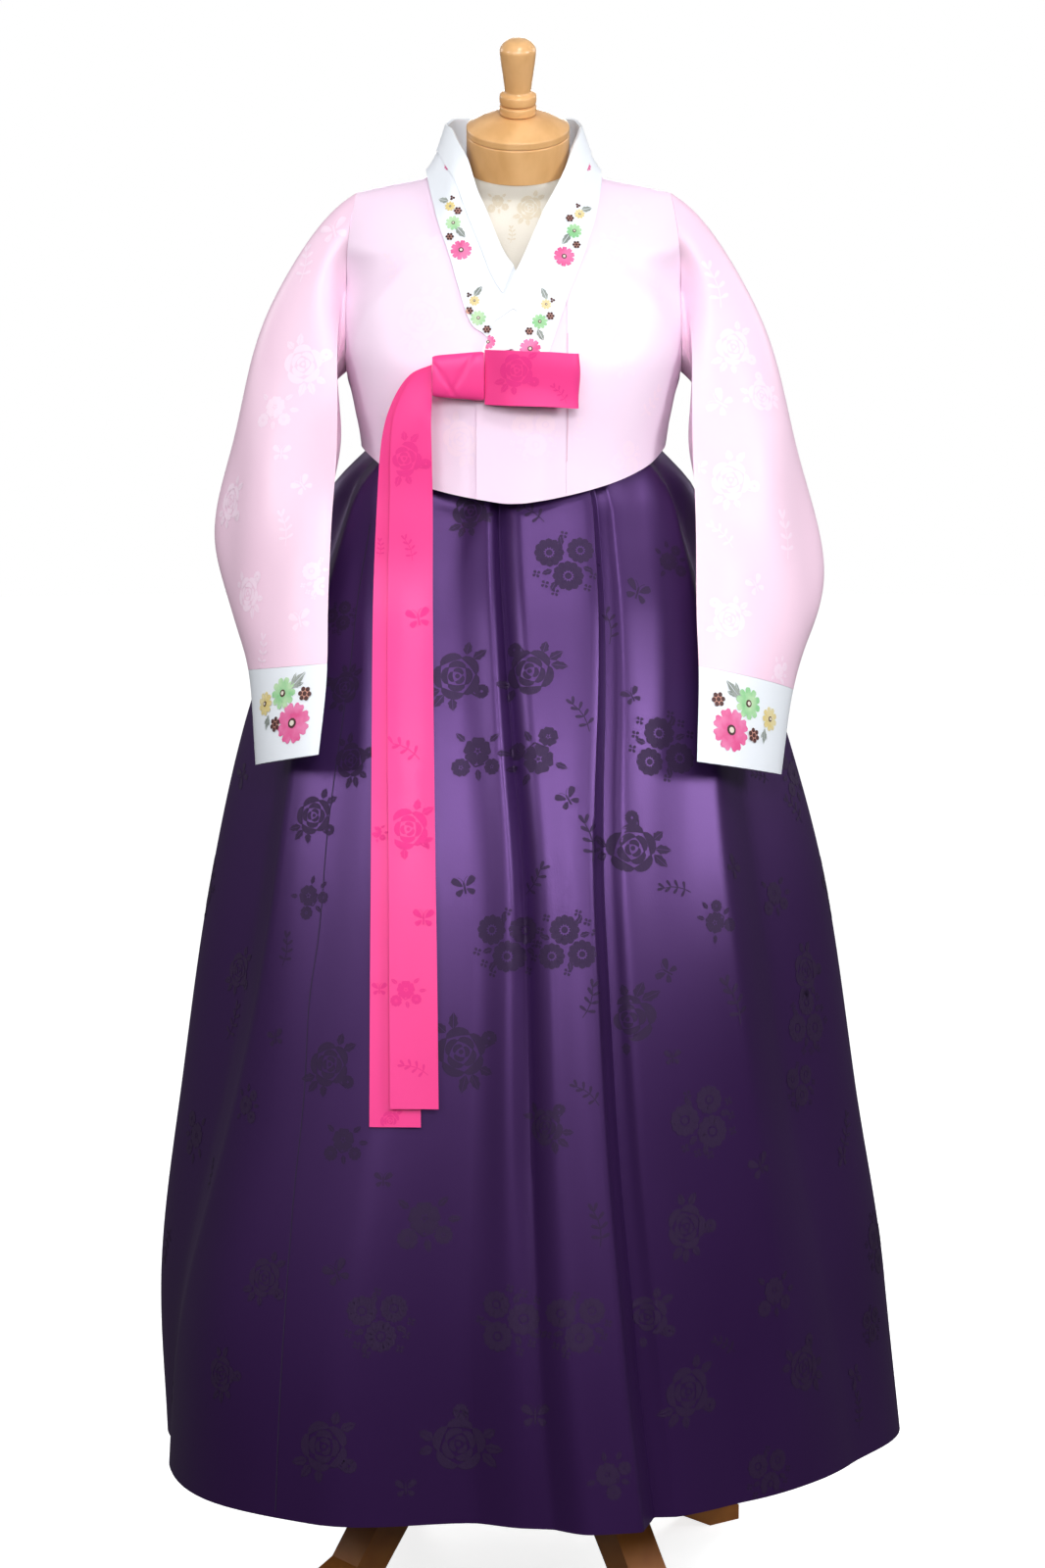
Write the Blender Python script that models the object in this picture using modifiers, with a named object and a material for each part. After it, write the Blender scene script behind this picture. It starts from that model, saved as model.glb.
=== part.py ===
"""Korean hanbok on a dress form: short satin jacket, wrapped satin skirt, wooden stand.

Metres, +Z up, front towards -Y. The origin is on the floor under the middle of the stand.
Left and right in names are the wearer's: the wearer's right side is at -X.
"""
import math

import bmesh
import bpy
import numpy as np
from mathutils import Vector

# Walls and gaps
CLOTH = 0.0016           # satin with its lining
COLLAR_CLOTH = 0.0016
TRIM_CLOTH = 0.0012      # white strip on the collar
SEAM = 0.0003            # between pieces that are sewn or seated together
LAYER = 0.0012           # between a panel and what lies on it

# Dress form
FORM_X = -0.0155         # the form's own axis
NECK_TILT = math.radians(22.0)
NECK_BASE = Vector((FORM_X, -0.0200, 1.6110))
NECK_RADIUS = 0.0570
NECK_LENGTH = 0.0400
TORSO_RINGS = (
    # height, half_width, front, back, centre_y, tilt in degrees
    (0.880, 0.120, 0.080, 0.085, 0.000, 0.0),
    (0.888, 0.150, 0.100, 0.105, 0.000, 0.0),
    (0.970, 0.166, 0.112, 0.118, 0.000, 0.0),
    (1.080, 0.144, 0.098, 0.100, 0.000, 0.0),
    (1.170, 0.122, 0.088, 0.082, 0.000, 0.0),
    (1.260, 0.132, 0.098, 0.086, 0.000, 0.0),
    (1.345, 0.143, 0.121, 0.1040, 0.000, 0.0),
    (1.420, 0.150, 0.108, 0.1072, 0.000, 0.0),
    (1.490, 0.160, 0.088, 0.1117, 0.000, 0.0),
    (1.535, 0.150, 0.070, 0.086, 0.000, 0.0),
    (1.562, 0.118, 0.058, 0.070, 0.000, 4.0),
    (1.583, 0.078, 0.055, 0.060, -0.004, 12.0),
    (1.6107, 0.056, 0.056, 0.056, -0.0199, 22.0),
)

# Jacket body
JACKET_X = -0.0205       # its middle line
JACKET_BODY = (
    # height, half_width, front, back
    (1.240, 0.175, 0.150, 0.140),
    (1.300, 0.171, 0.149, 0.137),
    (1.345, 0.178, 0.149, 0.130),
    (1.385, 0.187, 0.147, 0.126),
    (1.420, 0.196, 0.137, 0.120),
    (1.490, 0.200, 0.113, 0.115),
    (1.540, 0.198, 0.091, 0.104),
    (1.580, 0.192, 0.073, 0.092),
    (1.620, 0.187, 0.058, 0.080),
    (1.680, 0.180, 0.044, 0.068),
)
BODY_BOXINESS = 2.4      # 2 would be an ellipse in plan
SHOULDER_ROUND = 0.085   # drop over which the front and back round over to the shoulder line
RIDGE_DROP = 0.000001    # keeps front and back on their own sides of that line
SHOULDER_LINE = (
    # from_middle, height
    (0.000, 1.765),
    (0.030, 1.740),
    (0.045, 1.712),
    (0.062, 1.671),
    (0.080, 1.622),
    (0.095, 1.602),
    (0.140, 1.592),
    (0.175, 1.5835),
    (0.200, 1.577),
)
UNDERARM = (0.187, 1.385)
ARMHOLE_EDGE = (
    # height, from_middle
    (1.385, 0.187),
    (1.420, 0.1865),
    (1.480, 0.186),
    (1.540, 0.182),
    (1.5835, 0.175),
)
SHOULDER_TIP = (0.175, 1.5835)
HEM = (
    # from_middle, height at the front
    (0.000, 1.2445),
    (0.040, 1.250),
    (0.070, 1.256),
    (0.100, 1.264),
    (0.130, 1.275),
    (0.155, 1.288),
    (0.171, 1.303),
)
BACK_HEM_RISE = 0.35     # share of the front hem's dip that the back hem has
CREASE = (
    # height, from_middle: where the front breaks back towards the armhole
    (1.375, 0.187),
    (1.419, 0.176),
    (1.455, 0.160),
    (1.488, 0.130),
    (1.520, 0.100),
)
CREASE_SLOPE = 0.42
OVERLAP_EDGE = -0.040    # the closing edge of the wearer's left front
OVERLAP_SEAM = 0.058     # seam between that front and its overlap panel
OVERLAP_LIFT = 0.0036
UNDER_EDGE = 0.030       # hidden edge of the wearer's right front
NECK_POINT = 0.080       # from the middle, where a front's neckline meets the shoulder line
BACK_NECK = 1.616
RIGHT_NECKLINE = (
    # height, from_middle: the edge under the collar
    (1.340, -0.028),
    (1.400, -0.004),
    (1.450, 0.028),
    (1.500, 0.050),
    (1.550, 0.066),
    (1.600, 0.077),
)
LEFT_NECKLINE = (
    (1.484, 0.0585),
    (1.520, 0.0650),
    (1.557, 0.0720),
    (1.600, 0.0780),
)

# Skirt
SKIRT_SECTIONS = (
    # height, centre_x, half_width, front, back
    (0.165, 0.0025, 0.4290, 0.385, 0.395),
    (0.347, -0.0103, 0.4183, 0.366, 0.388),
    (0.577, -0.0150, 0.3830, 0.330, 0.362),
    (0.805, -0.0155, 0.3465, 0.284, 0.318),
    (0.985, -0.0195, 0.3030, 0.233, 0.268),
    (1.120, -0.0210, 0.2560, 0.185, 0.222),
    (1.205, -0.0222, 0.2230, 0.148, 0.180),
    (1.2575, -0.0215, 0.2010, 0.128, 0.138),
    (1.292, -0.0208, 0.1710, 0.124, 0.114),
    (1.303, -0.0205, 0.1610, 0.124, 0.110),
    (1.335, -0.0205, 0.1590, 0.128, 0.107),
)
FOLD_LEVELS = (1.24, 0.80, 0.165)
SKIRT_FOLDS = (
    # angle from the front in degrees and outward reach in mm at each fold level, then crispness
    ("right side bulge", -90, -90, -90, 2, 4, -4, 0.0),
    ("right recess", -68, -61, -79, -14, -20, -12, 0.2),
    ("right crisp ridge", -55, -49, -69, 9, 13, 12, 1.0),
    ("right seam panel", -45, -36, -47, 2, 9, 44, 0.0),
    ("right front ridge", -30, -22, -31, 6, 10, 38, 0.0),
    ("dark valley", -15, -8, -9, -8, -13, -20, 0.2),
    ("crease lip", -7, -1.5, -1.5, 0, -2, -6, 0.4),
    ("centre crease", -4, 1.5, 2.8, -14, -13, -2, 1.0),
    ("centre panel", 3, 6, 8, 6, 12, 20, 0.0),
    ("pleat edge", 24, 13.5, 15, 10, 13, 20, 1.0),
    ("pleat recess", 27, 16, 18.5, -6, -9, -26, 0.8),
    ("second pleat edge", 31, 19.5, 22, 4, 3, -20, 0.6),
    ("left front panel", 43, 29, 36, 2, 4, -34, 0.0),
    ("left crisp edge", 56, 40.5, 50, 10, 11, -36, 0.8),
    ("left recess", 66, 56, 66, -15, -21, -36, 0.2),
    ("left side bulge", 90, 90, 90, 2, 4, -4, 0.0),
    ("back fold 1 recess", 106, 108, 110, -9, -14, -20, 0.2),
    ("back fold 1 ridge", 120, 122, 123, 8, 9, 14, 0.5),
    ("back fold 2 recess", 134, 136, 138, -8, -12, -18, 0.2),
    ("back fold 2 ridge", 148, 149, 151, 8, 10, 12, 0.6),
    ("back middle recess", 163, 164, 166, -6, -10, -16, 0.0),
    ("wrap edge ridge", 178, 179, 180, 5, 7, 8, 0.3),
    ("back fold 3 recess", 193, 194, 196, -7, -12, -18, 0.2),
    ("back fold 3 ridge", 207, 208, 210, 8, 10, 16, 0.6),
    ("back fold 4 recess", 222, 223, 225, -8, -12, -16, 0.2),
    ("back fold 4 ridge", 237, 238, 240, 8, 9, 12, 0.4),
    ("back fold 5 recess", 254, 253, 254, -9, -14, -16, 0.0),
)
FOLD_FADE = ((1.240, 1.0), (1.292, 0.45), (1.335, 0.10))
WRAP_START = -0.45       # the wrap's under end, in folds past the wrap edge ridge
WRAP_OVER = 1.1          # how far the outer end laps over it, in folds
WRAP_LIFT = 0.0040
SKIRT_SEAMS = (-0.5, 3.5, 8.6, 14.0)   # between its widths of cloth, in folds
SEAM_SHARE = 0.004       # half the gap at a seam, in folds
SKIRT_WIDTHS = ("chima_width_back_right", "chima_width_right", "chima_width_front", "chima_width_left",
                "chima_width_back_left")
SKIRT_LEVELS = (1.3350, 1.3030, 1.2750, 1.2350, 1.1500, 1.0200, 0.8600, 0.6600, 0.4300, 0.1650)
COLUMNS_PER_FOLD = 4

# Hidden waistband of the skirt
WAISTBAND_TOP = 1.405
WAISTBAND_HALF = 0.1600
WAISTBAND_FRONT = 0.1300
WAISTBAND_BACK = 0.1090

# Sleeves: crisp inner fold, outer edge, and the bow of the shown and the hidden face between them
RIGHT_SLEEVE = (
    # fold x, y, z;  outer edge x, y, z;  shown bow x, y, z;  hidden bow x, y, z
    ((-0.2155, -0.075, 1.410), (-0.262, 0.045, 1.470), (-0.034, -0.015, 0.040), (0.009, 0.015, -0.080)),
    ((-0.2143, -0.090, 1.350), (-0.300, 0.048, 1.405), (-0.040, -0.024, 0.024), (0.021, 0.031, -0.065)),
    ((-0.2150, -0.108, 1.300), (-0.336, 0.030, 1.310), (-0.032, -0.033, 0.000), (0.024, 0.033, -0.040)),
    ((-0.2168, -0.128, 1.250), (-0.3586, 0.006, 1.207), (-0.024, -0.030, 0.000), (0.020, 0.026, -0.010)),
    ((-0.2190, -0.150, 1.200), (-0.3426, -0.024, 1.143), (-0.024, -0.026, 0.000), (0.018, 0.020, 0.0)),
    ((-0.2222, -0.178, 1.125), (-0.3290, -0.064, 1.100), (-0.020, -0.020, 0.000), (0.014, 0.014, 0.0)),
    ((-0.2217, -0.200, 1.0755), (-0.3136, -0.100, 1.059), (-0.015, -0.014, 0.000), (0.010, 0.010, 0.0)),
    ((-0.2299, -0.240, 0.981), (-0.3042, -0.146, 0.958), (-0.011, -0.010, 0.000), (0.009, 0.008, 0.0)),
)
LEFT_SLEEVE = (
    ((0.1770, -0.075, 1.405), (0.222, 0.045, 1.465), (0.034, -0.015, 0.040), (-0.009, 0.015, -0.080)),
    ((0.1766, -0.090, 1.345), (0.260, 0.048, 1.395), (0.041, -0.024, 0.024), (-0.021, 0.031, -0.065)),
    ((0.1772, -0.108, 1.295), (0.300, 0.030, 1.290), (0.034, -0.033, 0.000), (-0.024, 0.033, -0.040)),
    ((0.1775, -0.128, 1.245), (0.3300, 0.006, 1.166), (0.024, -0.030, 0.000), (-0.020, 0.026, -0.010)),
    ((0.1779, -0.150, 1.195), (0.3220, -0.026, 1.120), (0.024, -0.026, 0.000), (-0.018, 0.020, 0.0)),
    ((0.1788, -0.178, 1.120), (0.3040, -0.066, 1.078), (0.020, -0.020, 0.000), (-0.014, 0.014, 0.0)),
    ((0.1806, -0.200, 1.0733), (0.2895, -0.098, 1.0361), (0.015, -0.014, 0.000), (-0.010, 0.010, 0.0)),
    ((0.1773, -0.240, 0.9735), (0.2746, -0.142, 0.9469), (0.011, -0.010, 0.000), (-0.009, 0.008, 0.0)),
)
SLEEVE_START = 0.003     # how far the sleeve runs straight on from the armhole
SLEEVE_SPREAD = 0.7      # and how much of that is straight out sideways
UNDERARM_ROUND = 0.035   # height over which the armhole turns to its underside
FACE_POINTS = 9          # across each face of a sleeve
SLEEVE_STEPS = 11
CUFF_STEPS = 4
TANGENT_STEP = 0.004     # along a sleeve, for the direction of its surface
MITRE_LIMIT = 0.10       # keeps the inside of a sharp fold from running too deep
SHOULDER_ROWS = {1: (0.0, 20.0, 40.0, 60.0, 90.0), -1: (0.0, 22.0, 45.0, 68.0, 90.0)}
ARMHOLE_ROWS = {1: 10, -1: 8}
FOLD_START = 5           # the armhole row at the front where the sleeve's fold starts
SIDE_SEAM_ROWS = 4       # up the side seam from hem to underarm

# Collar band: each row is where its neck edge and its body edge lie on the jacket
COLLAR_RAILS = (
    # neck edge from_middle, height;  body edge from_middle, height;  front 1, shoulder 0, back -1
    ((0.006, 1.486), (-0.020, 1.412), 1),
    ((-0.010, 1.516), (-0.046, 1.440), 1),
    ((-0.0250, 1.551), (-0.0600, 1.480), 1),
    ((-0.0380, 1.581), (-0.0720, 1.520), 1),
    ((-0.0490, 1.616), (-0.0850, 1.562), 1),
    ((-0.0625, 1.647), (-0.0910, 1.590), 1),
    ((-0.0675, 0.0), (-0.0930, 0.0), 0),
    ((-0.0540, 1.664), (-0.0750, 1.598), -1),
    ((-0.0280, 1.664), (-0.0390, 1.599), -1),
    ((0.000, 1.664), (0.000, 1.600), -1),
    ((0.0280, 1.664), (0.0390, 1.599), -1),
    ((0.0540, 1.664), (0.0750, 1.598), -1),
    ((0.0680, 0.0), (0.0930, 0.0), 0),
    ((0.0670, 1.646), (0.0960, 1.590), 1),
    ((0.0580, 1.614), (0.0900, 1.558), 1),
    ((0.0420, 1.578), (0.0800, 1.524), 1),
    ((0.0230, 1.538), (0.0660, 1.486), 1),
    ((0.0009, 1.492), (0.0520, 1.448), 1),
    ((-0.0203, 1.439), (0.0390, 1.410), 1),
    ((-0.0385, 1.394), (0.0260, 1.376), 1),
)
COLLAR_STEPS = 56
COLLAR_SHARES = (0.0, 0.20, 0.40, 0.70, 1.0)   # its columns, from the neck edge
TRIM_COLUMNS = 3         # the white strip covers the first of them
TRIM_ROWS = (1, -3)      # and runs between these rows of the band
COLLAR_STAND = 0.0050    # how far the band stands off the shoulders and the back
COLLAR_STAND_REACH = 0.090

# Breast ribbon
KNOT = (-0.0800, -0.1605, 1.3840)
KNOT_SIZE = (0.0560, 0.0180, 0.0540)
RIBBON_CLOTH = 0.0016
LOOP_HEIGHT = 0.0590
LOOP_PATH = (
    # x, y, tilt of the centre height
    (-0.0514, -0.1585, 1.3830),
    (-0.0200, -0.1590, 1.3820),
    (0.0150, -0.1585, 1.3800),
    (0.0420, -0.1570, 1.3790),
    (0.0495, -0.1630, 1.3790),
    (0.0440, -0.1700, 1.3790),
    (0.0180, -0.1760, 1.3810),
    (-0.0200, -0.1770, 1.3820),
    (-0.0508, -0.1645, 1.3830),
)
FRONT_TAIL = (
    # left x, y, z;  right x, y, z
    ((-0.1085, -0.1640, 1.3925), (-0.1085, -0.1640, 1.3580)),
    ((-0.1270, -0.1640, 1.3850), (-0.1095, -0.1640, 1.3420)),
    ((-0.1430, -0.1650, 1.3600), (-0.1095, -0.1650, 1.3260)),
    ((-0.1527, -0.1650, 1.3250), (-0.1090, -0.1650, 1.3030)),
    ((-0.1550, -0.1650, 1.2405), (-0.1080, -0.1650, 1.2405)),
    ((-0.1571, -0.1750, 1.1353), (-0.1080, -0.1780, 1.1353)),
    ((-0.1560, -0.2270, 0.9950), (-0.1060, -0.2300, 0.9950)),
    ((-0.1541, -0.2660, 0.8696), (-0.1038, -0.2690, 0.8696)),
    ((-0.1530, -0.2970, 0.7400), (-0.1015, -0.2990, 0.7400)),
    ((-0.1519, -0.3240, 0.6100), (-0.0999, -0.3250, 0.6100)),
)
BACK_TAIL = (
    ((-0.1085, -0.1585, 1.3965), (-0.1085, -0.1585, 1.3640)),
    ((-0.1330, -0.1585, 1.3850), (-0.1130, -0.1585, 1.3450)),
    ((-0.1520, -0.1590, 1.3560), (-0.1150, -0.1590, 1.3260)),
    ((-0.1635, -0.1590, 1.3142), (-0.1180, -0.1590, 1.3000)),
    ((-0.1690, -0.1590, 1.2402), (-0.1240, -0.1590, 1.2402)),
    ((-0.1731, -0.1690, 1.1353), (-0.1260, -0.1720, 1.1353)),
    ((-0.1732, -0.2200, 0.9950), (-0.1240, -0.2240, 0.9950)),
    ((-0.1732, -0.2590, 0.8688), (-0.1210, -0.2630, 0.8688)),
    ((-0.1737, -0.2900, 0.7400), (-0.1200, -0.2930, 0.7400)),
    ((-0.1740, -0.3210, 0.5898), (-0.1190, -0.3230, 0.5898)),
)
TAIL_STEPS = 18

# Stand
POLE_RADIUS = 0.0160
POLE_BOTTOM = 0.300
HUB_RADIUS = 0.0400
HUB_HEIGHT = 0.1000
LEG_ANGLES = (-53.0, 37.0, 127.0, 217.0)
LEG_WIDTH = 0.0500
LEG_OUTLINE = (
    # distance from the axis, height: the top line out, then the underside back
    (HUB_RADIUS + SEAM, 0.2900),
    (0.1000, 0.2700),
    (0.1500, 0.2050),
    (0.2000, 0.1180),
    (0.2450, 0.0520),
    (0.2950, 0.0250),
    (0.3150, 0.0180),
    (0.3150, 0.0000),
    (0.2700, 0.0000),
    (0.2200, 0.0240),
    (0.1750, 0.0850),
    (0.1250, 0.1750),
    (0.0850, 0.2250),
    (HUB_RADIUS + SEAM, 0.2350),
)

COLOURS = {
    # red, green, blue, roughness
    "pink_satin": (0.90, 0.66, 0.76, 0.38),
    "white_satin": (0.88, 0.91, 0.97, 0.42),
    "trim_white": (0.93, 0.95, 0.99, 0.60),
    "magenta_satin": (0.84, 0.04, 0.26, 0.34),
    "purple_satin": (0.10, 0.035, 0.20, 0.32),
    "torso_cloth": (0.86, 0.80, 0.66, 0.85),
    "neck_wood": (0.70, 0.44, 0.20, 0.35),
    "leg_wood": (0.45, 0.20, 0.07, 0.40),
}


def clear_scene():
    for thing in list(bpy.data.objects):
        bpy.data.objects.remove(thing, do_unlink=True)


def make_materials():
    materials = {}
    for name, (red, green, blue, roughness) in COLOURS.items():
        material = bpy.data.materials.new(name)
        material.use_nodes = True
        shader = material.node_tree.nodes["Principled BSDF"]
        shader.inputs["Base Color"].default_value = (red, green, blue, 1.0)
        shader.inputs["Roughness"].default_value = roughness
        shader.inputs["Metallic"].default_value = 0.0
        materials[name] = material
    return materials


def smooth(stations, values, where):
    """Read a smooth curve through the values, which never swings past them."""
    stations = np.asarray(stations, float)
    values = np.asarray(values, float)
    if stations[0] > stations[-1]:
        stations, values = stations[::-1], values[::-1]
    steps = np.diff(stations)
    slopes = np.diff(values) / steps
    tangents = np.concatenate(([slopes[0]], np.zeros(len(slopes) - 1), [slopes[-1]]))
    product = slopes[:-1] * slopes[1:]
    rising = product > 0
    tangents[1:-1][rising] = 2 * product[rising] / (slopes[:-1] + slopes[1:])[rising]
    where = np.clip(np.asarray(where, float), stations[0], stations[-1])
    cell = np.clip(np.searchsorted(stations, where, side="right") - 1, 0, len(steps) - 1)
    width = steps[cell]
    t = (where - stations[cell]) / width
    return (values[cell] * (2 * t**3 - 3 * t**2 + 1)
            + tangents[cell] * width * (t**3 - 2 * t**2 + t)
            + values[cell + 1] * (3 * t**2 - 2 * t**3)
            + tangents[cell + 1] * width * (t**3 - t**2))


def column(table, at, index, where):
    """Read one column of a table at the given values of another."""
    return smooth([row[at] for row in table], [row[index] for row in table], where)


def smooth_points(stations, points, where):
    points = np.asarray(points, float)
    return np.stack([smooth(stations, points[:, axis], where) for axis in range(3)], axis=-1)


def unit(vectors):
    return vectors / np.maximum(np.linalg.norm(vectors, axis=-1, keepdims=True), 1e-12)


def grid_normals(points, closed=False):
    """Unit normals of a grid of points, rows by columns; closed grids wrap round in columns."""
    if closed:
        across = np.roll(points, -1, axis=1) - np.roll(points, 1, axis=1)
    else:
        across = np.gradient(points, axis=1)
    return unit(np.cross(across, np.gradient(points, axis=0)))


def wall_mesh(name, outer, inner, closed=False):
    """A closed wall between two grids of points with the same rows and columns."""
    rows, columns = outer.shape[:2]
    build = bmesh.new()
    skins = []
    for grid in (outer, inner):
        skins.append([[build.verts.new(point) for point in row] for row in grid])
    last = columns if closed else columns - 1
    for r in range(rows - 1):
        for c in range(last):
            d = (c + 1) % columns
            for skin in skins:
                build.faces.new((skin[r][c], skin[r][d], skin[r + 1][d], skin[r + 1][c]))
    rims = []
    for r in (0, rows - 1):
        rims += [((r, c), (r, (c + 1) % columns)) for c in range(last)]
    if not closed:
        for c in (0, columns - 1):
            rims += [((r, c), (r + 1, c)) for r in range(rows - 1)]
    for (r, c), (s, d) in rims:
        build.faces.new((skins[0][r][c], skins[0][s][d], skins[1][s][d], skins[1][r][c]))
    bmesh.ops.recalc_face_normals(build, faces=build.faces)
    mesh = bpy.data.meshes.new(name)
    build.to_mesh(mesh)
    build.free()
    mesh.shade_smooth()
    mesh.set_sharp_from_angle(angle=math.radians(50))
    return mesh


def add_object(name, mesh, material, collection):
    thing = bpy.data.objects.new(name, mesh)
    mesh.materials.append(material)
    collection.objects.link(thing)
    return thing


# Jacket body surface


def shoulder_height(across):
    return column(SHOULDER_LINE, 0, 1, np.abs(across))


def height_to_drop(across, height):
    """Distance down from the shoulder line, measured round its curve."""
    down = np.maximum(shoulder_height(across) - height, 0.0)
    turned = np.arccos(np.clip(1.0 - down / SHOULDER_ROUND, 0.0, 1.0)) * SHOULDER_ROUND
    straight = SHOULDER_ROUND * math.pi / 2 + down - SHOULDER_ROUND
    return np.where(down < SHOULDER_ROUND, turned, straight)


def overlap_lift(across):
    """The wearer's left front stands proud where it laps over the right one."""
    t = np.clip((OVERLAP_SEAM - across) / (OVERLAP_SEAM - UNDER_EDGE), 0.0, 1.0)
    return OVERLAP_LIFT * t * t * (3 - 2 * t)


def body_point(across, drop):
    """Point of the jacket's surface; drop is positive down the front, negative down the back."""
    down = np.abs(drop)
    turned = down < SHOULDER_ROUND * math.pi / 2
    angle = np.where(turned, down / SHOULDER_ROUND, math.pi / 2)
    below = np.where(turned, SHOULDER_ROUND * (1 - np.cos(angle)),
                     SHOULDER_ROUND + down - SHOULDER_ROUND * math.pi / 2)
    height = shoulder_height(across) - below
    half = column(JACKET_BODY, 0, 1, height)
    share = np.clip(np.abs(across) / half, 0.0, 1.0 - 1e-8)
    plan = (1 - share**BODY_BOXINESS) ** (1 / BODY_BOXINESS)
    front = column(JACKET_BODY, 0, 2, height) * plan
    crease = column(CREASE, 0, 1, height)
    fade = np.clip((1.520 - height) / 0.05, 0.0, 1.0) * np.clip((height - 1.385) / 0.03, 0.0, 1.0)
    front = front - CREASE_SLOPE * fade * np.maximum(np.abs(across) - crease, 0.0)
    back = column(JACKET_BODY, 0, 3, height) * plan
    reach = np.where(drop >= 0, front, back) * np.sin(angle) + SEAM / 2
    y = np.where(drop >= 0, -reach, reach)
    return np.stack([JACKET_X + across, y, height], axis=-1)


def body_normal(across, drop):
    """Outward unit normals of the jacket's surface."""
    step = 2e-6
    side = body_point(across + step, drop) - body_point(across - step, drop)
    inside = np.where(np.abs(drop) < 2e-5, np.where(drop >= 0, 2e-5, -2e-5), drop)
    down = body_point(across, inside + step) - body_point(across, inside - step)
    return unit(np.cross(down, side))


def towards_side(t):
    return np.sin(t * math.pi / 2)


def towards_both_sides(t):
    return t - np.sin(2 * t * math.pi) / (4 * math.pi)


def panel(name, face, bottom, top, left, right, spread, lift, rows, columns, material, collection):
    """A body panel between four edges, each a list of places (from_middle, height)."""
    def edge(places, count, ease):
        across = np.array([place[0] for place in places], float)
        height = np.array([place[1] for place in places], float)
        at = np.linspace(0.0, 1.0, len(places))
        t = ease(np.linspace(0.0, 1.0, count))
        return smooth(at, across, t), smooth(at, height, t)

    def even(t):
        return t

    u = spread(np.linspace(0.0, 1.0, columns))[None, :]
    v = np.linspace(0.0, 1.0, rows)[:, None]
    places = []
    for low, high, near, far in zip(edge(bottom, columns, spread), edge(top, columns, spread),
                                    edge(left, rows, even), edge(right, rows, even)):
        places.append((1 - v) * low[None, :] + v * high[None, :]
                      + (1 - u) * near[:, None] + u * far[:, None]
                      - (1 - u) * (1 - v) * low[0] - u * (1 - v) * low[-1]
                      - (1 - u) * v * high[0] - u * v * high[-1])
    across, height = places
    height[-1] = np.where(np.abs(across[-1]) > NECK_POINT - SEAM, shoulder_height(across[-1]), height[-1])
    drop = face * np.maximum(height_to_drop(across, height), RIDGE_DROP)
    points = body_point(across, drop)
    normals = body_normal(across, drop)
    out = lift(across)[..., None]
    mesh = wall_mesh(name, points + normals * out, points + normals * (out - CLOTH))
    return add_object(name, mesh, material, collection)


def hem_height(across, face):
    low = column(HEM, 0, 1, np.abs(across))
    side = HEM[-1][1]
    return low if face > 0 else side - (side - low) * BACK_HEM_RISE


def hem_places(start, end, face, count=7):
    return [(x, float(hem_height(x, face))) for x in np.linspace(start, end, count)]


def shoulder_places(start, end, count=5):
    return [(x, float(shoulder_height(x))) for x in np.linspace(start, end, count)]


def heights_below(top, bottom, face, count):
    """Heights from a place on the shoulder line down, closer together round the shoulder."""
    turned = top - SHOULDER_ROUND * (1 - np.cos(np.radians(SHOULDER_ROWS[face])))
    straight = np.linspace(turned[-1], bottom, count - len(turned) + 1)[1:]
    return np.concatenate([turned, straight])


def armhole_heights(face):
    return heights_below(SHOULDER_TIP[1], UNDERARM[1], face, ARMHOLE_ROWS[face])


def side_rows(face):
    return SIDE_SEAM_ROWS - 1 + ARMHOLE_ROWS[face]


def side_places(sign, face):
    """A panel's side, up the side seam and then round the armhole."""
    seam = np.linspace(HEM[-1][1], UNDERARM[1], SIDE_SEAM_ROWS)[:-1]
    places = [(sign * float(column(JACKET_BODY, 0, 1, z)), z) for z in seam]
    for z in armhole_heights(face)[::-1]:
        places.append((sign * float(column(ARMHOLE_EDGE, 0, 1, z)), z))
    return places


def neckline_places(table, sign):
    """A front's inner edge from the hem up to the shoulder line, read from (height, from_middle)."""
    heights = heights_below(table[-1][0], table[0][0], 1, side_rows(1))[::-1]
    return [(sign * float(column(table, 0, 1, z)), z) for z in heights]


def make_body(materials, collection):
    pink = materials["pink_satin"]
    tip = SHOULDER_TIP[0]
    side = HEM[-1][0]

    def flush(across):
        return np.zeros_like(across)

    neck = NECK_POINT
    ridge = float(shoulder_height(neck))
    panel("jeogori_back", -1, hem_places(-side, side, -1, 13),
          [(-tip, SHOULDER_TIP[1]), (-0.128, float(shoulder_height(0.128))), (-neck, ridge),
           (-0.045, BACK_NECK), (0.0, BACK_NECK), (0.045, BACK_NECK), (neck, ridge),
           (0.128, float(shoulder_height(0.128))), (tip, SHOULDER_TIP[1])],
          side_places(-1, -1), side_places(1, -1), towards_both_sides, flush, side_rows(-1), 21,
          pink, collection)
    hem = float(hem_height(UNDER_EDGE, 1))
    panel("jeogori_front_right", 1, hem_places(UNDER_EDGE, -side, 1), shoulder_places(-neck, -tip),
          neckline_places(((hem, -UNDER_EDGE),) + RIGHT_NECKLINE + ((ridge, neck),), -1),
          side_places(-1, 1), towards_side, flush, side_rows(1), 11, pink, collection)
    seam = OVERLAP_SEAM + SEAM / 2
    hem = float(hem_height(seam, 1))
    panel("jeogori_front_left", 1, hem_places(seam, side, 1), shoulder_places(neck, tip),
          neckline_places(((hem, seam), (1.400, seam)) + LEFT_NECKLINE + ((ridge, neck),), 1),
          side_places(1, 1), towards_side, overlap_lift, side_rows(1), 9, pink, collection)
    seam = OVERLAP_SEAM - SEAM / 2
    edge = OVERLAP_EDGE
    panel("jeogori_overlap", 1, hem_places(edge, seam, 1),
          [(edge, 1.383), (-0.016, 1.397), (0.008, 1.422), (0.034, 1.456), (seam, 1.484)],
          [(edge, float(hem_height(edge, 1))), (edge, 1.383)],
          [(seam, float(hem_height(seam, 1))), (seam, 1.484)],
          towards_both_sides, overlap_lift, 11, 7, pink, collection)


# Sleeves


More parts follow.
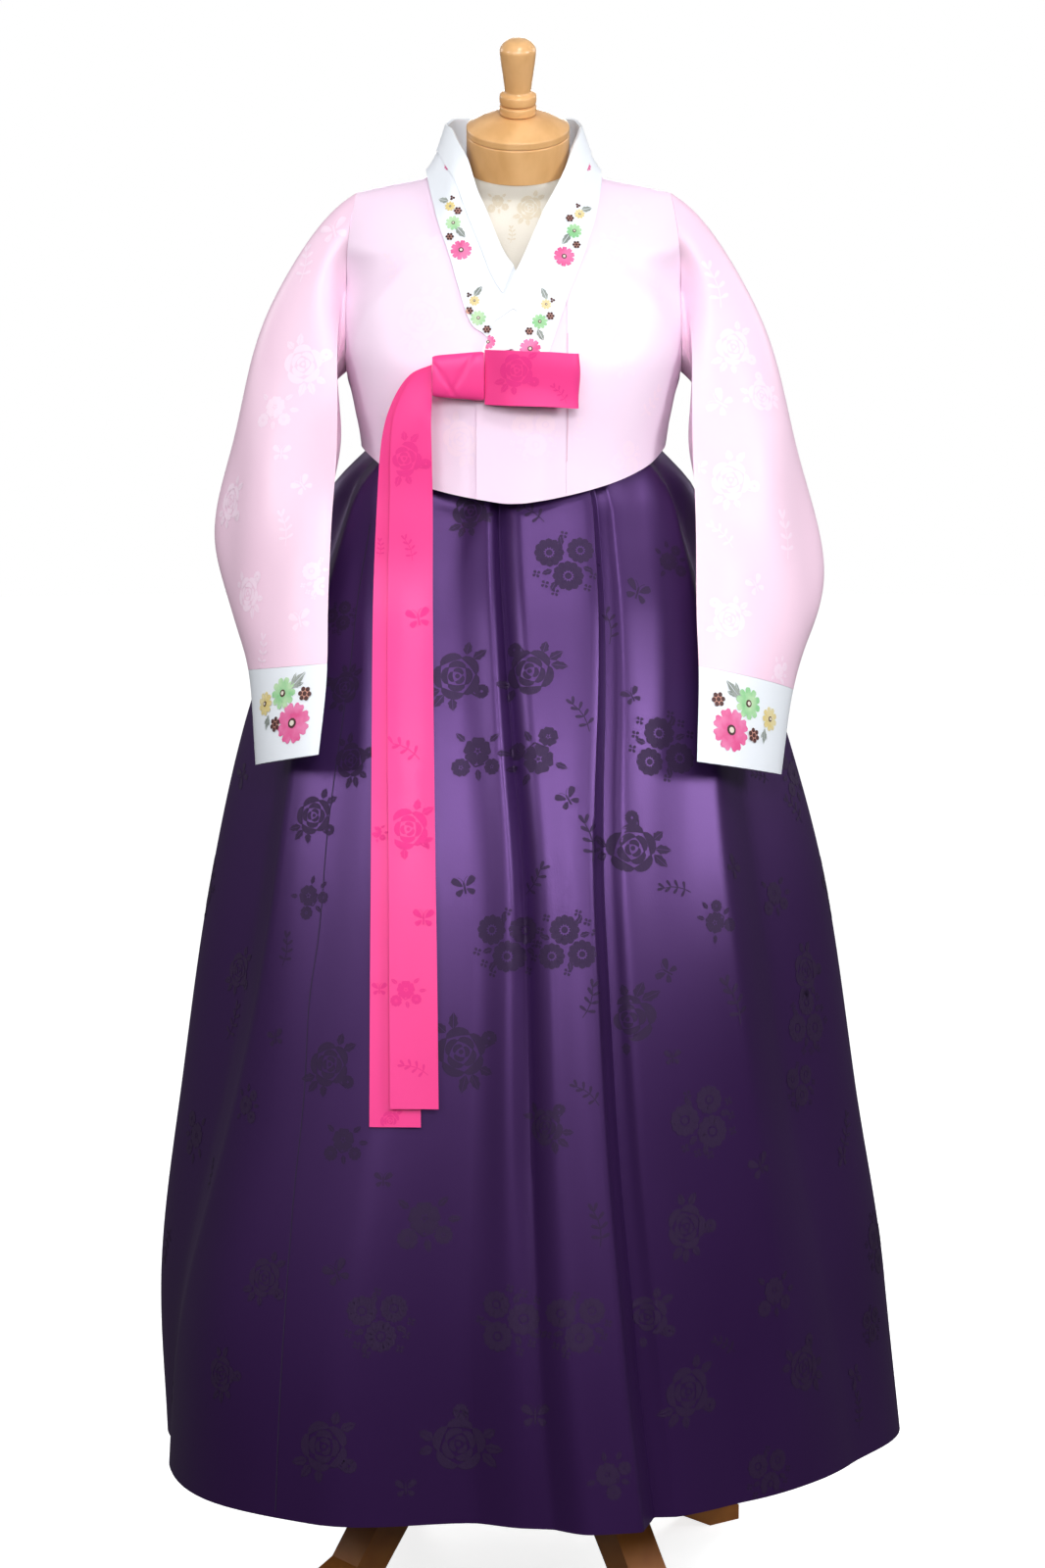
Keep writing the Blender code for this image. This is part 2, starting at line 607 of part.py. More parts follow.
def armhole_ring(sign):
    """The armhole's edge, over the shoulder, down the back and up the front, and the way out of it."""
    halves = []
    for face in (-1, 1):
        heights = armhole_heights(face)
        across = sign * column(ARMHOLE_EDGE, 0, 1, heights)
        near = np.clip((heights - UNDERARM[1]) / UNDERARM_ROUND, 0.0, 1.0)[:, None]
        drop = face * np.maximum(height_to_drop(across, heights), RIDGE_DROP)
        points = body_point(across, drop)
        away = unit(points - body_point(across - sign * SLEEVE_START, drop))
        away = unit(away + np.array([sign * SLEEVE_SPREAD, 0.0, 0.0]))
        away = unit(away * near + np.array([sign * 0.9, 0.0, -0.45]) * (1 - near))
        gap = SEAM * (1 + 2 * (1 - near))
        points[(0, -1), 1] = 0.0
        halves.append((points + away * gap, points + away * SLEEVE_START))
    rings = [np.concatenate([back, front[-2:0:-1]]) for back, front in zip(*halves)]
    return [np.roll(ring, FOLD_START, axis=0) for ring in rings]


def face_arc(start, end, bow, count):
    t = np.linspace(0.0, 1.0, count)[:, None]
    t = (t + 0.5 - 0.5 * np.cos(t * math.pi)) / 2
    swell = (1 - (2 * t - 1) ** 2) ** 0.85
    return start + (end - start) * t + bow * swell


def sleeve_ring(row):
    top, underarm, shown, hidden = (np.array(part) for part in row)
    face = face_arc(top, underarm, shown, FACE_POINTS)
    behind = face_arc(top, underarm, hidden, FACE_POINTS)
    return np.concatenate([face, behind[-2:0:-1]])


def tube_mitre(grid, along):
    """The way out of a tube's wall at each point, longer where the tube has a sharp fold."""
    before = unit(np.cross(along, grid - np.roll(grid, 1, axis=1)))
    after = unit(np.cross(along, np.roll(grid, -1, axis=1) - grid))
    shared = 1 + np.sum(before * after, axis=-1, keepdims=True)
    return (before + after) / np.maximum(shared, MITRE_LIMIT)


def make_sleeve(side_name, sign, table, materials, collection):
    """The sleeve and its cuff, cut from one tube that runs on from the armhole."""
    rings = np.array(armhole_ring(sign) + [sleeve_ring(row) for row in table])
    middle = rings.mean(axis=1)
    travel = np.concatenate([[0.0], np.cumsum(np.linalg.norm(np.diff(middle, axis=0), axis=1))])
    cuff_start = travel[-2]

    def tube(where):
        return np.stack([smooth_points(travel, rings[:, k], where) for k in range(rings.shape[1])], axis=1)

    pieces = (
        ("sleeve_" + side_name, np.append(0.0, np.linspace(travel[1], cuff_start - SEAM / 2, SLEEVE_STEPS)),
         "pink_satin"),
        ("cuff_" + side_name, np.linspace(cuff_start + SEAM / 2, travel[-1], CUFF_STEPS), "white_satin"),
    )
    for name, where, material in pieces:
        grid = tube(where)
        along = unit(tube(where + TANGENT_STEP) - tube(where - TANGENT_STEP)).mean(axis=1, keepdims=True)
        mesh = wall_mesh(name, grid, grid - tube_mitre(grid, along) * sign * CLOTH, closed=True)
        add_object(name, mesh, materials[material], collection)


# Collar


def collar_rails(where):
    """Both edges of the band along its length: across, and drop from the shoulder line.

    Round the back of the neck an edge keeps its height, however the shoulder line runs there.
    """
    stations = np.linspace(0.0, 1.0, len(COLLAR_RAILS))
    behind = [k for k, row in enumerate(COLLAR_RAILS) if row[2] < 0]
    at_back = (where >= stations[behind[0]]) & (where <= stations[behind[-1]])
    rails = []
    for rail in (0, 1):
        across = np.array([row[rail][0] for row in COLLAR_RAILS])
        drop = np.array([row[2] * float(height_to_drop(row[rail][0], row[rail][1]))
                         for row in COLLAR_RAILS])
        shown = smooth(stations, across, where)
        level = np.interp(where, stations[behind], [COLLAR_RAILS[k][rail][1] for k in behind])
        rails.append((shown, np.where(at_back, -height_to_drop(shown, level), smooth(stations, drop, where))))
    return rails


def collar_lift(across, drop, where):
    """The left end lies over the right one and the overlap panel; shoulders and back stand off."""
    near = np.clip(1 - np.maximum(drop, 0.0) / COLLAR_STAND_REACH, 0.0, 1.0)
    return np.where(where > 0.5, overlap_lift(across), 0.0) + COLLAR_STAND * near * near * (3 - 2 * near)


def make_collar(materials, collection):
    where = np.linspace(0.0, 1.0, COLLAR_STEPS)
    (neck_across, neck_drop), (body_across, body_drop) = collar_rails(where)
    t = np.array(COLLAR_SHARES)[None, :]
    across = neck_across[:, None] * (1 - t) + body_across[:, None] * t
    drop = neck_drop[:, None] * (1 - t) + body_drop[:, None] * t
    points = body_point(across, drop)
    normals = body_normal(across, drop)
    band_out = (LAYER + COLLAR_CLOTH + collar_lift(across, drop, where[:, None]))[..., None]
    trim_out = band_out + SEAM + TRIM_CLOTH
    strips = (
        ("collar_band", slice(None), slice(None), band_out, COLLAR_CLOTH, "white_satin"),
        ("collar_trim", slice(*TRIM_ROWS), slice(0, TRIM_COLUMNS), trim_out, TRIM_CLOTH, "trim_white"),
    )
    for name, rows, columns, out, cloth, material in strips:
        outer = (points + normals * out)[rows, columns]
        inner = (points + normals * (out - cloth))[rows, columns]
        add_object(name, wall_mesh(name, outer, inner), materials[material], collection)


# Breast ribbon


def ribbon(name, left, right, steps, material, collection):
    """A flat ribbon between two edges."""
    stations = np.linspace(0.0, 1.0, len(left))
    where = np.linspace(0.0, 1.0, steps)
    near = smooth_points(stations, left, where)
    far = smooth_points(stations, right, where)
    grid = np.stack([near, (near + far) / 2, far], axis=1)
    normals = grid_normals(grid)
    mesh = wall_mesh(name, grid, grid - normals * RIBBON_CLOTH)
    return add_object(name, mesh, material, collection)


def make_ribbon(materials, collection):
    magenta = materials["magenta_satin"]
    for name, table in (("ribbon_tail_front", FRONT_TAIL), ("ribbon_tail_back", BACK_TAIL)):
        ribbon(name, [row[0] for row in table], [row[1] for row in table], TAIL_STEPS, magenta, collection)
    half = LOOP_HEIGHT / 2
    ribbon("ribbon_loop", [(x, y, z + half) for x, y, z in LOOP_PATH],
           [(x, y, z - half) for x, y, z in LOOP_PATH], 2 * len(LOOP_PATH) + 1, magenta, collection)
    build = bmesh.new()
    bmesh.ops.create_cube(build, size=1.0)
    for vert in build.verts:
        vert.co.x *= KNOT_SIZE[0]
        vert.co.y *= KNOT_SIZE[1]
        vert.co.z *= KNOT_SIZE[2] * (0.82 if vert.co.x < 0 else 1.0)
    mesh = bpy.data.meshes.new("ribbon_knot")
    build.to_mesh(mesh)
    build.free()
    knot = add_object("ribbon_knot", mesh, magenta, collection)
    knot.location = KNOT
    rounding = knot.modifiers.new("soft edges", "BEVEL")
    rounding.width = KNOT_SIZE[1] * 0.30
    rounding.segments = 3
    rounding.limit_method = "NONE"


# Skirt


def skirt_rows(places, heights):
    """Grid of the skirt's surface; a place counts folds round from the wearer's right side."""
    count = len(SKIRT_FOLDS)
    turns = np.floor(places / count)
    local = places - turns * count
    first = np.minimum(local.astype(int), count - 1)
    t = local - first
    crisp = np.array([fold[7] for fold in SKIRT_FOLDS])
    next_fold = (first + 1) % count
    wrap = np.where(first + 1 == count, 360.0, 0.0)
    rows = []
    for height in heights:
        angles = np.array([float(smooth(FOLD_LEVELS, [fold[k] for k in (1, 2, 3)], height))
                           for fold in SKIRT_FOLDS])
        reach = np.array([float(smooth(FOLD_LEVELS, [fold[k] for k in (4, 5, 6)], height))
                          for fold in SKIRT_FOLDS]) / 1000.0
        reach = reach * float(column(FOLD_FADE, 0, 1, height))
        angle = angles[first] + (angles[next_fold] + wrap - angles[first]) * t + turns * 360.0
        rise = reach[next_fold] - reach[first]
        out = (reach[first] + rise * (3 * t**2 - 2 * t**3)
               + 1.3 * rise * crisp[first] * (t**3 - 2 * t**2 + t)
               + 1.3 * rise * crisp[next_fold] * (t**3 - t**2))
        turn = np.radians(angle)
        half = float(column(SKIRT_SECTIONS, 0, 2, height))
        front = float(column(SKIRT_SECTIONS, 0, 3, height))
        back = float(column(SKIRT_SECTIONS, 0, 4, height))
        depth = np.where(np.cos(turn) > 0, front, back)
        base = np.stack([half * np.sin(turn), -depth * np.cos(turn)], axis=-1)
        away = unit(np.stack([np.sin(turn) / half, -np.cos(turn) / depth], axis=-1))
        flat = base + away * out[:, None]
        rows.append((flat, away, np.full(len(places), height), float(column(SKIRT_SECTIONS, 0, 1, height))))
    return rows


def make_skirt(materials, collection):
    edge = [fold[0] for fold in SKIRT_FOLDS].index("wrap edge ridge")
    start = edge - len(SKIRT_FOLDS) + WRAP_START
    end = edge + WRAP_START + WRAP_OVER
    edges = (start,) + SKIRT_SEAMS + (end,)
    widths = []
    for near, far in zip(edges, edges[1:]):
        near = near + SEAM_SHARE * (near > start)
        far = far - SEAM_SHARE * (far < end)
        widths.append(np.linspace(near, far, int(round((far - near) * COLUMNS_PER_FOLD)) + 1))
    places = np.concatenate(widths)
    lap = np.clip((places - (end - 2.2 * WRAP_OVER)) / WRAP_OVER, 0.0, 1.0)
    lift = WRAP_LIFT * lap * lap * (3 - 2 * lap)
    grid = []
    for flat, away, height, centre in skirt_rows(places, SKIRT_LEVELS):
        moved = flat + away * lift[:, None]
        grid.append(np.column_stack([moved[:, 0] + centre, moved[:, 1], height]))
    grid = np.array(grid)
    inner = grid + grid_normals(grid) * CLOTH
    first = 0
    for name, width in zip(SKIRT_WIDTHS, widths):
        last = first + len(width)
        mesh = wall_mesh(name, grid[:, first:last], inner[:, first:last])
        add_object(name, mesh, materials["purple_satin"], collection)
        first = last


def make_waistband(materials, collection):
    turn = np.radians(np.linspace(0.0, 360.0, 40, endpoint=False))
    depth = np.where(np.cos(turn) > 0, WAISTBAND_FRONT, WAISTBAND_BACK)
    ring = np.column_stack([JACKET_X + WAISTBAND_HALF * np.sin(turn), -depth * np.cos(turn)])
    grid = np.array([np.column_stack([ring, np.full(len(ring), z)])
                     for z in (SKIRT_LEVELS[0] + SEAM, WAISTBAND_TOP)])
    normals = grid_normals(grid, closed=True)
    mesh = wall_mesh("chima_waistband", grid, grid - normals * CLOTH, closed=True)
    add_object("chima_waistband", mesh, materials["purple_satin"], collection)


# Dress form


def torso_ring(row, count):
    height, half, front, back, centre_y, tilt = row
    turn = np.radians(np.linspace(0.0, 360.0, count, endpoint=False))
    x = half * np.sin(turn)
    y = -np.where(np.cos(turn) > 0, front, back) * np.cos(turn)
    slope = math.radians(tilt)
    return [(FORM_X + a, centre_y + b * math.cos(slope), height + b * math.sin(slope)) for a, b in zip(x, y)]


def make_torso(materials, collection):
    build = bmesh.new()
    rings = [[build.verts.new(point) for point in torso_ring(row, 28)] for row in TORSO_RINGS]
    for low, high in zip(rings, rings[1:]):
        for k in range(len(low)):
            n = (k + 1) % len(low)
            build.faces.new((low[k], low[n], high[n], high[k]))
    build.faces.new(rings[0])
    build.faces.new(rings[-1])
    bmesh.ops.recalc_face_normals(build, faces=build.faces)
    mesh = bpy.data.meshes.new("form_torso")
    build.to_mesh(mesh)
    build.free()
    mesh.shade_smooth()
    mesh.set_sharp_from_angle(angle=math.radians(50))
    add_object("form_torso", mesh, materials["torso_cloth"], collection)


def turned(name, profile, steps, material, collection):
    """A turned piece from a profile of (radius, height), from the top of its axis down."""
    mesh = bpy.data.meshes.new(name)
    mesh.from_pydata([(radius, 0.0, height) for radius, height in profile],
                     [(k, k + 1) for k in range(len(profile) - 1)], [])
    piece = add_object(name, mesh, material, collection)
    screw = piece.modifiers.new("turning", "SCREW")
    screw.steps = steps
    screw.render_steps = steps
    screw.use_merge_vertices = True
    screw.merge_threshold = 0.00001
    screw.use_smooth_shade = True
    return piece


def make_neck(materials, collection):
    wood = materials["neck_wood"]
    tilt = bpy.data.objects.new("neck_axis", None)
    tilt.location = NECK_BASE
    tilt.rotation_euler = (NECK_TILT, 0.0, 0.0)
    collection.objects.link(tilt)
    lid = NECK_LENGTH + SEAM
    rim = lid + 0.007
    dome = rim + 0.016
    profiles = {
        "form_neck_block": [(0.0, NECK_LENGTH), (NECK_RADIUS - 0.002, NECK_LENGTH),
                            (NECK_RADIUS, NECK_LENGTH - 0.002), (NECK_RADIUS, 0.0), (0.0, 0.0)],
        "form_neck_lid": [(0.0, dome), (0.022, dome - 0.0015), (0.040, dome - 0.0065),
                          (0.051, dome - 0.012), (NECK_RADIUS, rim), (NECK_RADIUS, lid + 0.001),
                          (NECK_RADIUS - 0.002, lid), (0.0, lid)],
        "form_finial": [(0.0, 0.085), (0.010, 0.0835), (0.0165, 0.079), (0.020, 0.072), (0.0192, 0.062),
                        (0.0162, 0.040), (0.0146, 0.026), (0.0200, 0.0215), (0.0205, 0.017),
                        (0.0200, 0.0125), (0.0165, 0.0110), (0.0200, 0.0090), (0.0205, 0.0050),
                        (0.0200, SEAM), (0.0, SEAM)],
    }
    for name, profile in profiles.items():
        lifted = [(r, z + (dome if name == "form_finial" else 0.0)) for r, z in profile]
        turned(name, lifted, 28 if name != "form_finial" else 20, wood, collection).parent = tilt


def make_stand(materials, collection):
    wood = materials["leg_wood"]
    pole_top = TORSO_RINGS[0][0] - SEAM
    pole = turned("stand_pole", [(0.0, pole_top), (POLE_RADIUS, pole_top), (POLE_RADIUS, POLE_BOTTOM + SEAM),
                                 (0.0, POLE_BOTTOM + SEAM)], 20, wood, collection)
    hub = turned("stand_hub", [(0.0, POLE_BOTTOM), (HUB_RADIUS - 0.008, POLE_BOTTOM),
                               (HUB_RADIUS, POLE_BOTTOM - 0.006),
                               (HUB_RADIUS, POLE_BOTTOM - HUB_HEIGHT + 0.012),
                               (HUB_RADIUS - 0.012, POLE_BOTTOM - HUB_HEIGHT),
                               (0.0, POLE_BOTTOM - HUB_HEIGHT)], 28, wood, collection)
    for piece in (pole, hub):
        piece.location = (FORM_X, 0.0, 0.0)
    outline = bpy.data.curves.new("stand_leg", "CURVE")
    outline.dimensions = "2D"
    outline.fill_mode = "BOTH"
    outline.extrude = LEG_WIDTH / 2
    line = outline.splines.new("POLY")
    line.points.add(len(LEG_OUTLINE) - 1)
    for point, (reach, height) in zip(line.points, LEG_OUTLINE):
        point.co = (reach, height, 0.0, 1.0)
    line.use_cyclic_u = True
    for number, angle in enumerate(LEG_ANGLES, 1):
        leg = bpy.data.objects.new("stand_leg_%d" % number, outline)
        leg.location = (FORM_X, 0.0, 0.0)
        leg.rotation_euler = (math.pi / 2, 0.0, math.radians(angle - 90.0))
        collection.objects.link(leg)
    outline.materials.append(wood)


def main():
    clear_scene()
    collection = bpy.data.collections.new("korean hanbok on a dress form")
    bpy.context.scene.collection.children.link(collection)
    materials = make_materials()
    make_torso(materials, collection)
    make_neck(materials, collection)
    make_stand(materials, collection)
    make_waistband(materials, collection)
    make_skirt(materials, collection)
    make_body(materials, collection)
    for side_name, sign, table in (("right", -1, RIGHT_SLEEVE), ("left", 1, LEFT_SLEEVE)):
        make_sleeve(side_name, sign, table, materials, collection)
    make_collar(materials, collection)
    make_ribbon(materials, collection)


main()
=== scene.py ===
"""Korean hanbok on a dress form: fine satin cloth, woven motifs, embroidery, wood, light and camera.

Metres, +Z up, front towards -Y. Left and right in names are the wearer's.
"""
import math

import bmesh
import bpy
import numpy as np
from mathutils import Matrix, Vector
from mathutils.bvhtree import BVHTree

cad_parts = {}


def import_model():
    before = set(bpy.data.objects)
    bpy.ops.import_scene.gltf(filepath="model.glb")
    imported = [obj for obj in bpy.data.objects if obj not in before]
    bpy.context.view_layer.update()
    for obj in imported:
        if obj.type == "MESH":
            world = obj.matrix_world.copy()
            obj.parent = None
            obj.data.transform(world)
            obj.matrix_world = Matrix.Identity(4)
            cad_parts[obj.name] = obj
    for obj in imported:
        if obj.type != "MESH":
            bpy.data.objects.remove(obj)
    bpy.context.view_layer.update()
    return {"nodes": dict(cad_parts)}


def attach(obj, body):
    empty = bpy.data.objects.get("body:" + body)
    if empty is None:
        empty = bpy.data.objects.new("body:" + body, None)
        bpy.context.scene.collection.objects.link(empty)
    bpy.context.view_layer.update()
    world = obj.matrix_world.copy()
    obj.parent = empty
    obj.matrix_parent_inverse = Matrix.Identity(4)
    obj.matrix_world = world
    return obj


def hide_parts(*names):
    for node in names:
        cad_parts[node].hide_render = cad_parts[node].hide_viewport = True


# Walls and gaps
CLOTH = 0.0016           # satin with its lining
COLLAR_CLOTH = 0.0016
TRIM_CLOTH = 0.0012      # white strip on the collar
SEAM = 0.0003            # between pieces that are sewn or seated together
LAYER = 0.0012           # between a panel and what lies on it

# Dress form
FORM_X = -0.0155         # the form's own axis
NECK_TILT = math.radians(22.0)
NECK_BASE = Vector((FORM_X, -0.0200, 1.6110))
NECK_RADIUS = 0.0570
NECK_LENGTH = 0.0400
TORSO_RINGS = (
    # height, half_width, front, back, centre_y, tilt in degrees
    (0.880, 0.120, 0.080, 0.085, 0.000, 0.0),
    (0.888, 0.150, 0.100, 0.105, 0.000, 0.0),
    (0.970, 0.166, 0.112, 0.118, 0.000, 0.0),
    (1.080, 0.144, 0.098, 0.100, 0.000, 0.0),
    (1.170, 0.122, 0.088, 0.082, 0.000, 0.0),
    (1.260, 0.132, 0.098, 0.086, 0.000, 0.0),
    (1.345, 0.143, 0.121, 0.1040, 0.000, 0.0),
    (1.420, 0.150, 0.108, 0.1072, 0.000, 0.0),
    (1.490, 0.160, 0.088, 0.1117, 0.000, 0.0),
    (1.535, 0.150, 0.070, 0.086, 0.000, 0.0),
    (1.562, 0.118, 0.058, 0.070, 0.000, 4.0),
    (1.583, 0.078, 0.055, 0.060, -0.004, 12.0),
    (1.6107, 0.056, 0.056, 0.056, -0.0199, 22.0),
)

# Jacket body
JACKET_X = -0.0205       # its middle line
JACKET_BODY = (
    # height, half_width, front, back
    (1.240, 0.175, 0.150, 0.140),
    (1.300, 0.171, 0.149, 0.137),
    (1.345, 0.178, 0.149, 0.130),
    (1.385, 0.187, 0.147, 0.126),
    (1.420, 0.196, 0.137, 0.120),
    (1.490, 0.200, 0.113, 0.115),
    (1.540, 0.198, 0.091, 0.104),
    (1.580, 0.192, 0.073, 0.092),
    (1.620, 0.187, 0.058, 0.080),
    (1.680, 0.180, 0.044, 0.068),
)
BODY_BOXINESS = 2.4      # 2 would be an ellipse in plan
SHOULDER_ROUND = 0.085   # drop over which the front and back round over to the shoulder line
RIDGE_DROP = 0.000001    # keeps front and back on their own sides of that line
SHOULDER_LINE = (
    # from_middle, height
    (0.000, 1.765),
    (0.030, 1.740),
    (0.045, 1.712),
    (0.062, 1.671),
    (0.080, 1.622),
    (0.095, 1.602),
    (0.140, 1.592),
    (0.175, 1.5835),
    (0.200, 1.577),
)
UNDERARM = (0.187, 1.385)
ARMHOLE_EDGE = (
    # height, from_middle
    (1.385, 0.187),
    (1.420, 0.1865),
    (1.480, 0.186),
    (1.540, 0.182),
    (1.5835, 0.175),
)
SHOULDER_TIP = (0.175, 1.5835)
HEM = (
    # from_middle, height at the front
    (0.000, 1.2445),
    (0.040, 1.250),
    (0.070, 1.256),
    (0.100, 1.264),
    (0.130, 1.275),
    (0.155, 1.288),
    (0.171, 1.303),
)
BACK_HEM_RISE = 0.35     # share of the front hem's dip that the back hem has
CREASE = (
    # height, from_middle: where the front breaks back towards the armhole
    (1.375, 0.187),
    (1.419, 0.176),
    (1.455, 0.160),
    (1.488, 0.130),
    (1.520, 0.100),
)
CREASE_SLOPE = 0.60
OVERLAP_EDGE = -0.040    # the closing edge of the wearer's left front
OVERLAP_SEAM = 0.058     # seam between that front and its overlap panel
OVERLAP_LIFT = 0.0036
UNDER_EDGE = 0.030       # hidden edge of the wearer's right front
NECK_POINT = 0.080       # from the middle, where a front's neckline meets the shoulder line
BACK_NECK = 1.616
RIGHT_NECKLINE = (
    # height, from_middle: the edge under the collar
    (1.340, -0.028),
    (1.400, -0.004),
    (1.450, 0.028),
    (1.500, 0.050),
    (1.550, 0.066),
    (1.600, 0.077),
)
LEFT_NECKLINE = (
    (1.484, 0.0585),
    (1.520, 0.0650),
    (1.557, 0.0720),
    (1.600, 0.0780),
)

# Skirt
SKIRT_SECTIONS = (
    # height, centre_x, half_width, front, back
    (0.165, 0.0025, 0.4290, 0.385, 0.395),
    (0.347, -0.0103, 0.4183, 0.366, 0.388),
    (0.577, -0.0150, 0.3830, 0.330, 0.362),
    (0.805, -0.0155, 0.3465, 0.284, 0.318),
    (0.985, -0.0195, 0.3030, 0.233, 0.268),
    (1.120, -0.0210, 0.2560, 0.185, 0.222),
    (1.205, -0.0222, 0.2230, 0.148, 0.180),
    (1.2575, -0.0215, 0.2010, 0.128, 0.138),
    (1.292, -0.0208, 0.1710, 0.124, 0.114),
    (1.303, -0.0205, 0.1610, 0.124, 0.110),
    (1.335, -0.0205, 0.1590, 0.128, 0.107),
)
FOLD_LEVELS = (1.24, 0.80, 0.165)
SKIRT_FOLDS = (
    # angle from the front in degrees and outward reach in mm at each fold level, then crispness
    ("right side bulge", -90, -90, -90, 2, 4, -4, 0.0),
    ("right recess", -68, -61, -79, -14, -20, -12, 0.2),
    ("right crisp ridge", -55, -49, -69, 9, 13, 12, 1.0),
    ("right seam panel", -45, -36, -47, 2, 9, 44, 0.0),
    ("right front ridge", -30, -22, -31, 6, 10, 38, 0.0),
    ("dark valley", -15, -8, -9, -8, -13, -20, 0.2),
    ("crease lip", -7, -1.5, -1.5, 0, -2, -6, 0.4),
    ("centre crease", -4, 1.5, 2.8, -14, -13, -2, 1.0),
    ("centre panel", 3, 6, 8, 6, 12, 20, 0.0),
    ("pleat edge", 24, 13.5, 15, 10, 13, 20, 1.0),
    ("pleat recess", 27, 16, 18.5, -6, -9, -26, 0.8),
    ("second pleat edge", 31, 19.5, 22, 4, 3, -20, 0.6),
    ("left front panel", 43, 29, 36, 2, 4, -34, 0.0),
    ("left crisp edge", 56, 40.5, 50, 10, 11, -36, 0.8),
    ("left recess", 66, 56, 66, -15, -21, -36, 0.2),
    ("left side bulge", 90, 90, 90, 2, 4, -4, 0.0),
    ("back fold 1 recess", 106, 108, 110, -9, -14, -20, 0.2),
    ("back fold 1 ridge", 120, 122, 123, 8, 9, 14, 0.5),
    ("back fold 2 recess", 134, 136, 138, -8, -12, -18, 0.2),
    ("back fold 2 ridge", 148, 149, 151, 8, 10, 12, 0.6),
    ("back middle recess", 163, 164, 166, -6, -10, -16, 0.0),
    ("wrap edge ridge", 178, 179, 180, 5, 7, 8, 0.3),
    ("back fold 3 recess", 193, 194, 196, -7, -12, -18, 0.2),
    ("back fold 3 ridge", 207, 208, 210, 8, 10, 16, 0.6),
    ("back fold 4 recess", 222, 223, 225, -8, -12, -16, 0.2),
    ("back fold 4 ridge", 237, 238, 240, 8, 9, 12, 0.4),
    ("back fold 5 recess", 254, 253, 254, -9, -14, -16, 0.0),
)
FOLD_FADE = ((1.240, 1.0), (1.292, 0.45), (1.335, 0.10))
WRAP_START = -0.45       # the wrap's under end, in folds past the wrap edge ridge
WRAP_OVER = 1.1          # how far the outer end laps over it, in folds
WRAP_LIFT = 0.0040
SKIRT_LEVELS = (1.3350, 1.3030, 1.2750, 1.2350, 1.1500, 1.0200, 0.8600, 0.6600, 0.4300, 0.1650)
SKIRT_WIDTHS = ("chima_width_back_right", "chima_width_right", "chima_width_front", "chima_width_left",
                "chima_width_back_left")

# Hidden waistband of the skirt
WAISTBAND_TOP = 1.405
WAISTBAND_HALF = 0.1600
WAISTBAND_FRONT = 0.1300
WAISTBAND_BACK = 0.1090

# Sleeves: crisp inner fold, outer edge, and the bow of the shown and the hidden face between them
RIGHT_SLEEVE = (
    # fold x, y, z;  outer edge x, y, z;  shown bow x, y, z;  hidden bow x, y, z
    ((-0.2155, -0.075, 1.410), (-0.262, 0.045, 1.470), (-0.034, -0.015, 0.040), (0.009, 0.015, -0.080)),
    ((-0.2143, -0.090, 1.350), (-0.300, 0.048, 1.405), (-0.040, -0.024, 0.024), (0.021, 0.031, -0.065)),
    ((-0.2150, -0.108, 1.300), (-0.336, 0.030, 1.310), (-0.032, -0.033, 0.000), (0.024, 0.033, -0.040)),
    ((-0.2168, -0.128, 1.250), (-0.3586, 0.006, 1.207), (-0.024, -0.030, 0.000), (0.020, 0.026, -0.010)),
    ((-0.2190, -0.150, 1.200), (-0.3426, -0.024, 1.143), (-0.024, -0.026, 0.000), (0.018, 0.020, 0.0)),
    ((-0.2222, -0.178, 1.125), (-0.3290, -0.064, 1.100), (-0.020, -0.020, 0.000), (0.014, 0.014, 0.0)),
    ((-0.2217, -0.200, 1.0755), (-0.3136, -0.100, 1.059), (-0.015, -0.014, 0.000), (0.010, 0.010, 0.0)),
    ((-0.2299, -0.240, 0.981), (-0.3042, -0.146, 0.958), (-0.011, -0.010, 0.000), (0.009, 0.008, 0.0)),
)
LEFT_SLEEVE = (
    ((0.1770, -0.075, 1.405), (0.222, 0.045, 1.465), (0.034, -0.015, 0.040), (-0.009, 0.015, -0.080)),
    ((0.1766, -0.090, 1.345), (0.260, 0.048, 1.395), (0.041, -0.024, 0.024), (-0.021, 0.031, -0.065)),
    ((0.1772, -0.108, 1.295), (0.300, 0.030, 1.290), (0.034, -0.033, 0.000), (-0.024, 0.033, -0.040)),
    ((0.1775, -0.128, 1.245), (0.3300, 0.006, 1.166), (0.024, -0.030, 0.000), (-0.020, 0.026, -0.010)),
    ((0.1779, -0.150, 1.195), (0.3220, -0.026, 1.120), (0.024, -0.026, 0.000), (-0.018, 0.020, 0.0)),
    ((0.1788, -0.178, 1.120), (0.3040, -0.066, 1.078), (0.020, -0.020, 0.000), (-0.014, 0.014, 0.0)),
    ((0.1806, -0.200, 1.0733), (0.2895, -0.098, 1.0361), (0.015, -0.014, 0.000), (-0.010, 0.010, 0.0)),
    ((0.1773, -0.240, 0.9735), (0.2746, -0.142, 0.9469), (0.011, -0.010, 0.000), (-0.009, 0.008, 0.0)),
)
SLEEVE_START = 0.003     # how far the sleeve runs straight on from the armhole
SLEEVE_SPREAD = 0.7      # and how much of that is straight out sideways
UNDERARM_ROUND = 0.035   # height over which the armhole turns to its underside
FACE_POINTS = 9          # across each face of a sleeve
MITRE_LIMIT = 0.10       # keeps the inside of a sharp fold from running too deep
SHOULDER_ROWS = {1: (0.0, 20.0, 40.0, 60.0, 90.0), -1: (0.0, 22.0, 45.0, 68.0, 90.0)}
ARMHOLE_ROWS = {1: 10, -1: 8}
FOLD_START = 5           # the armhole row at the front where the sleeve's fold starts
SIDE_SEAM_ROWS = 4       # up the side seam from hem to underarm

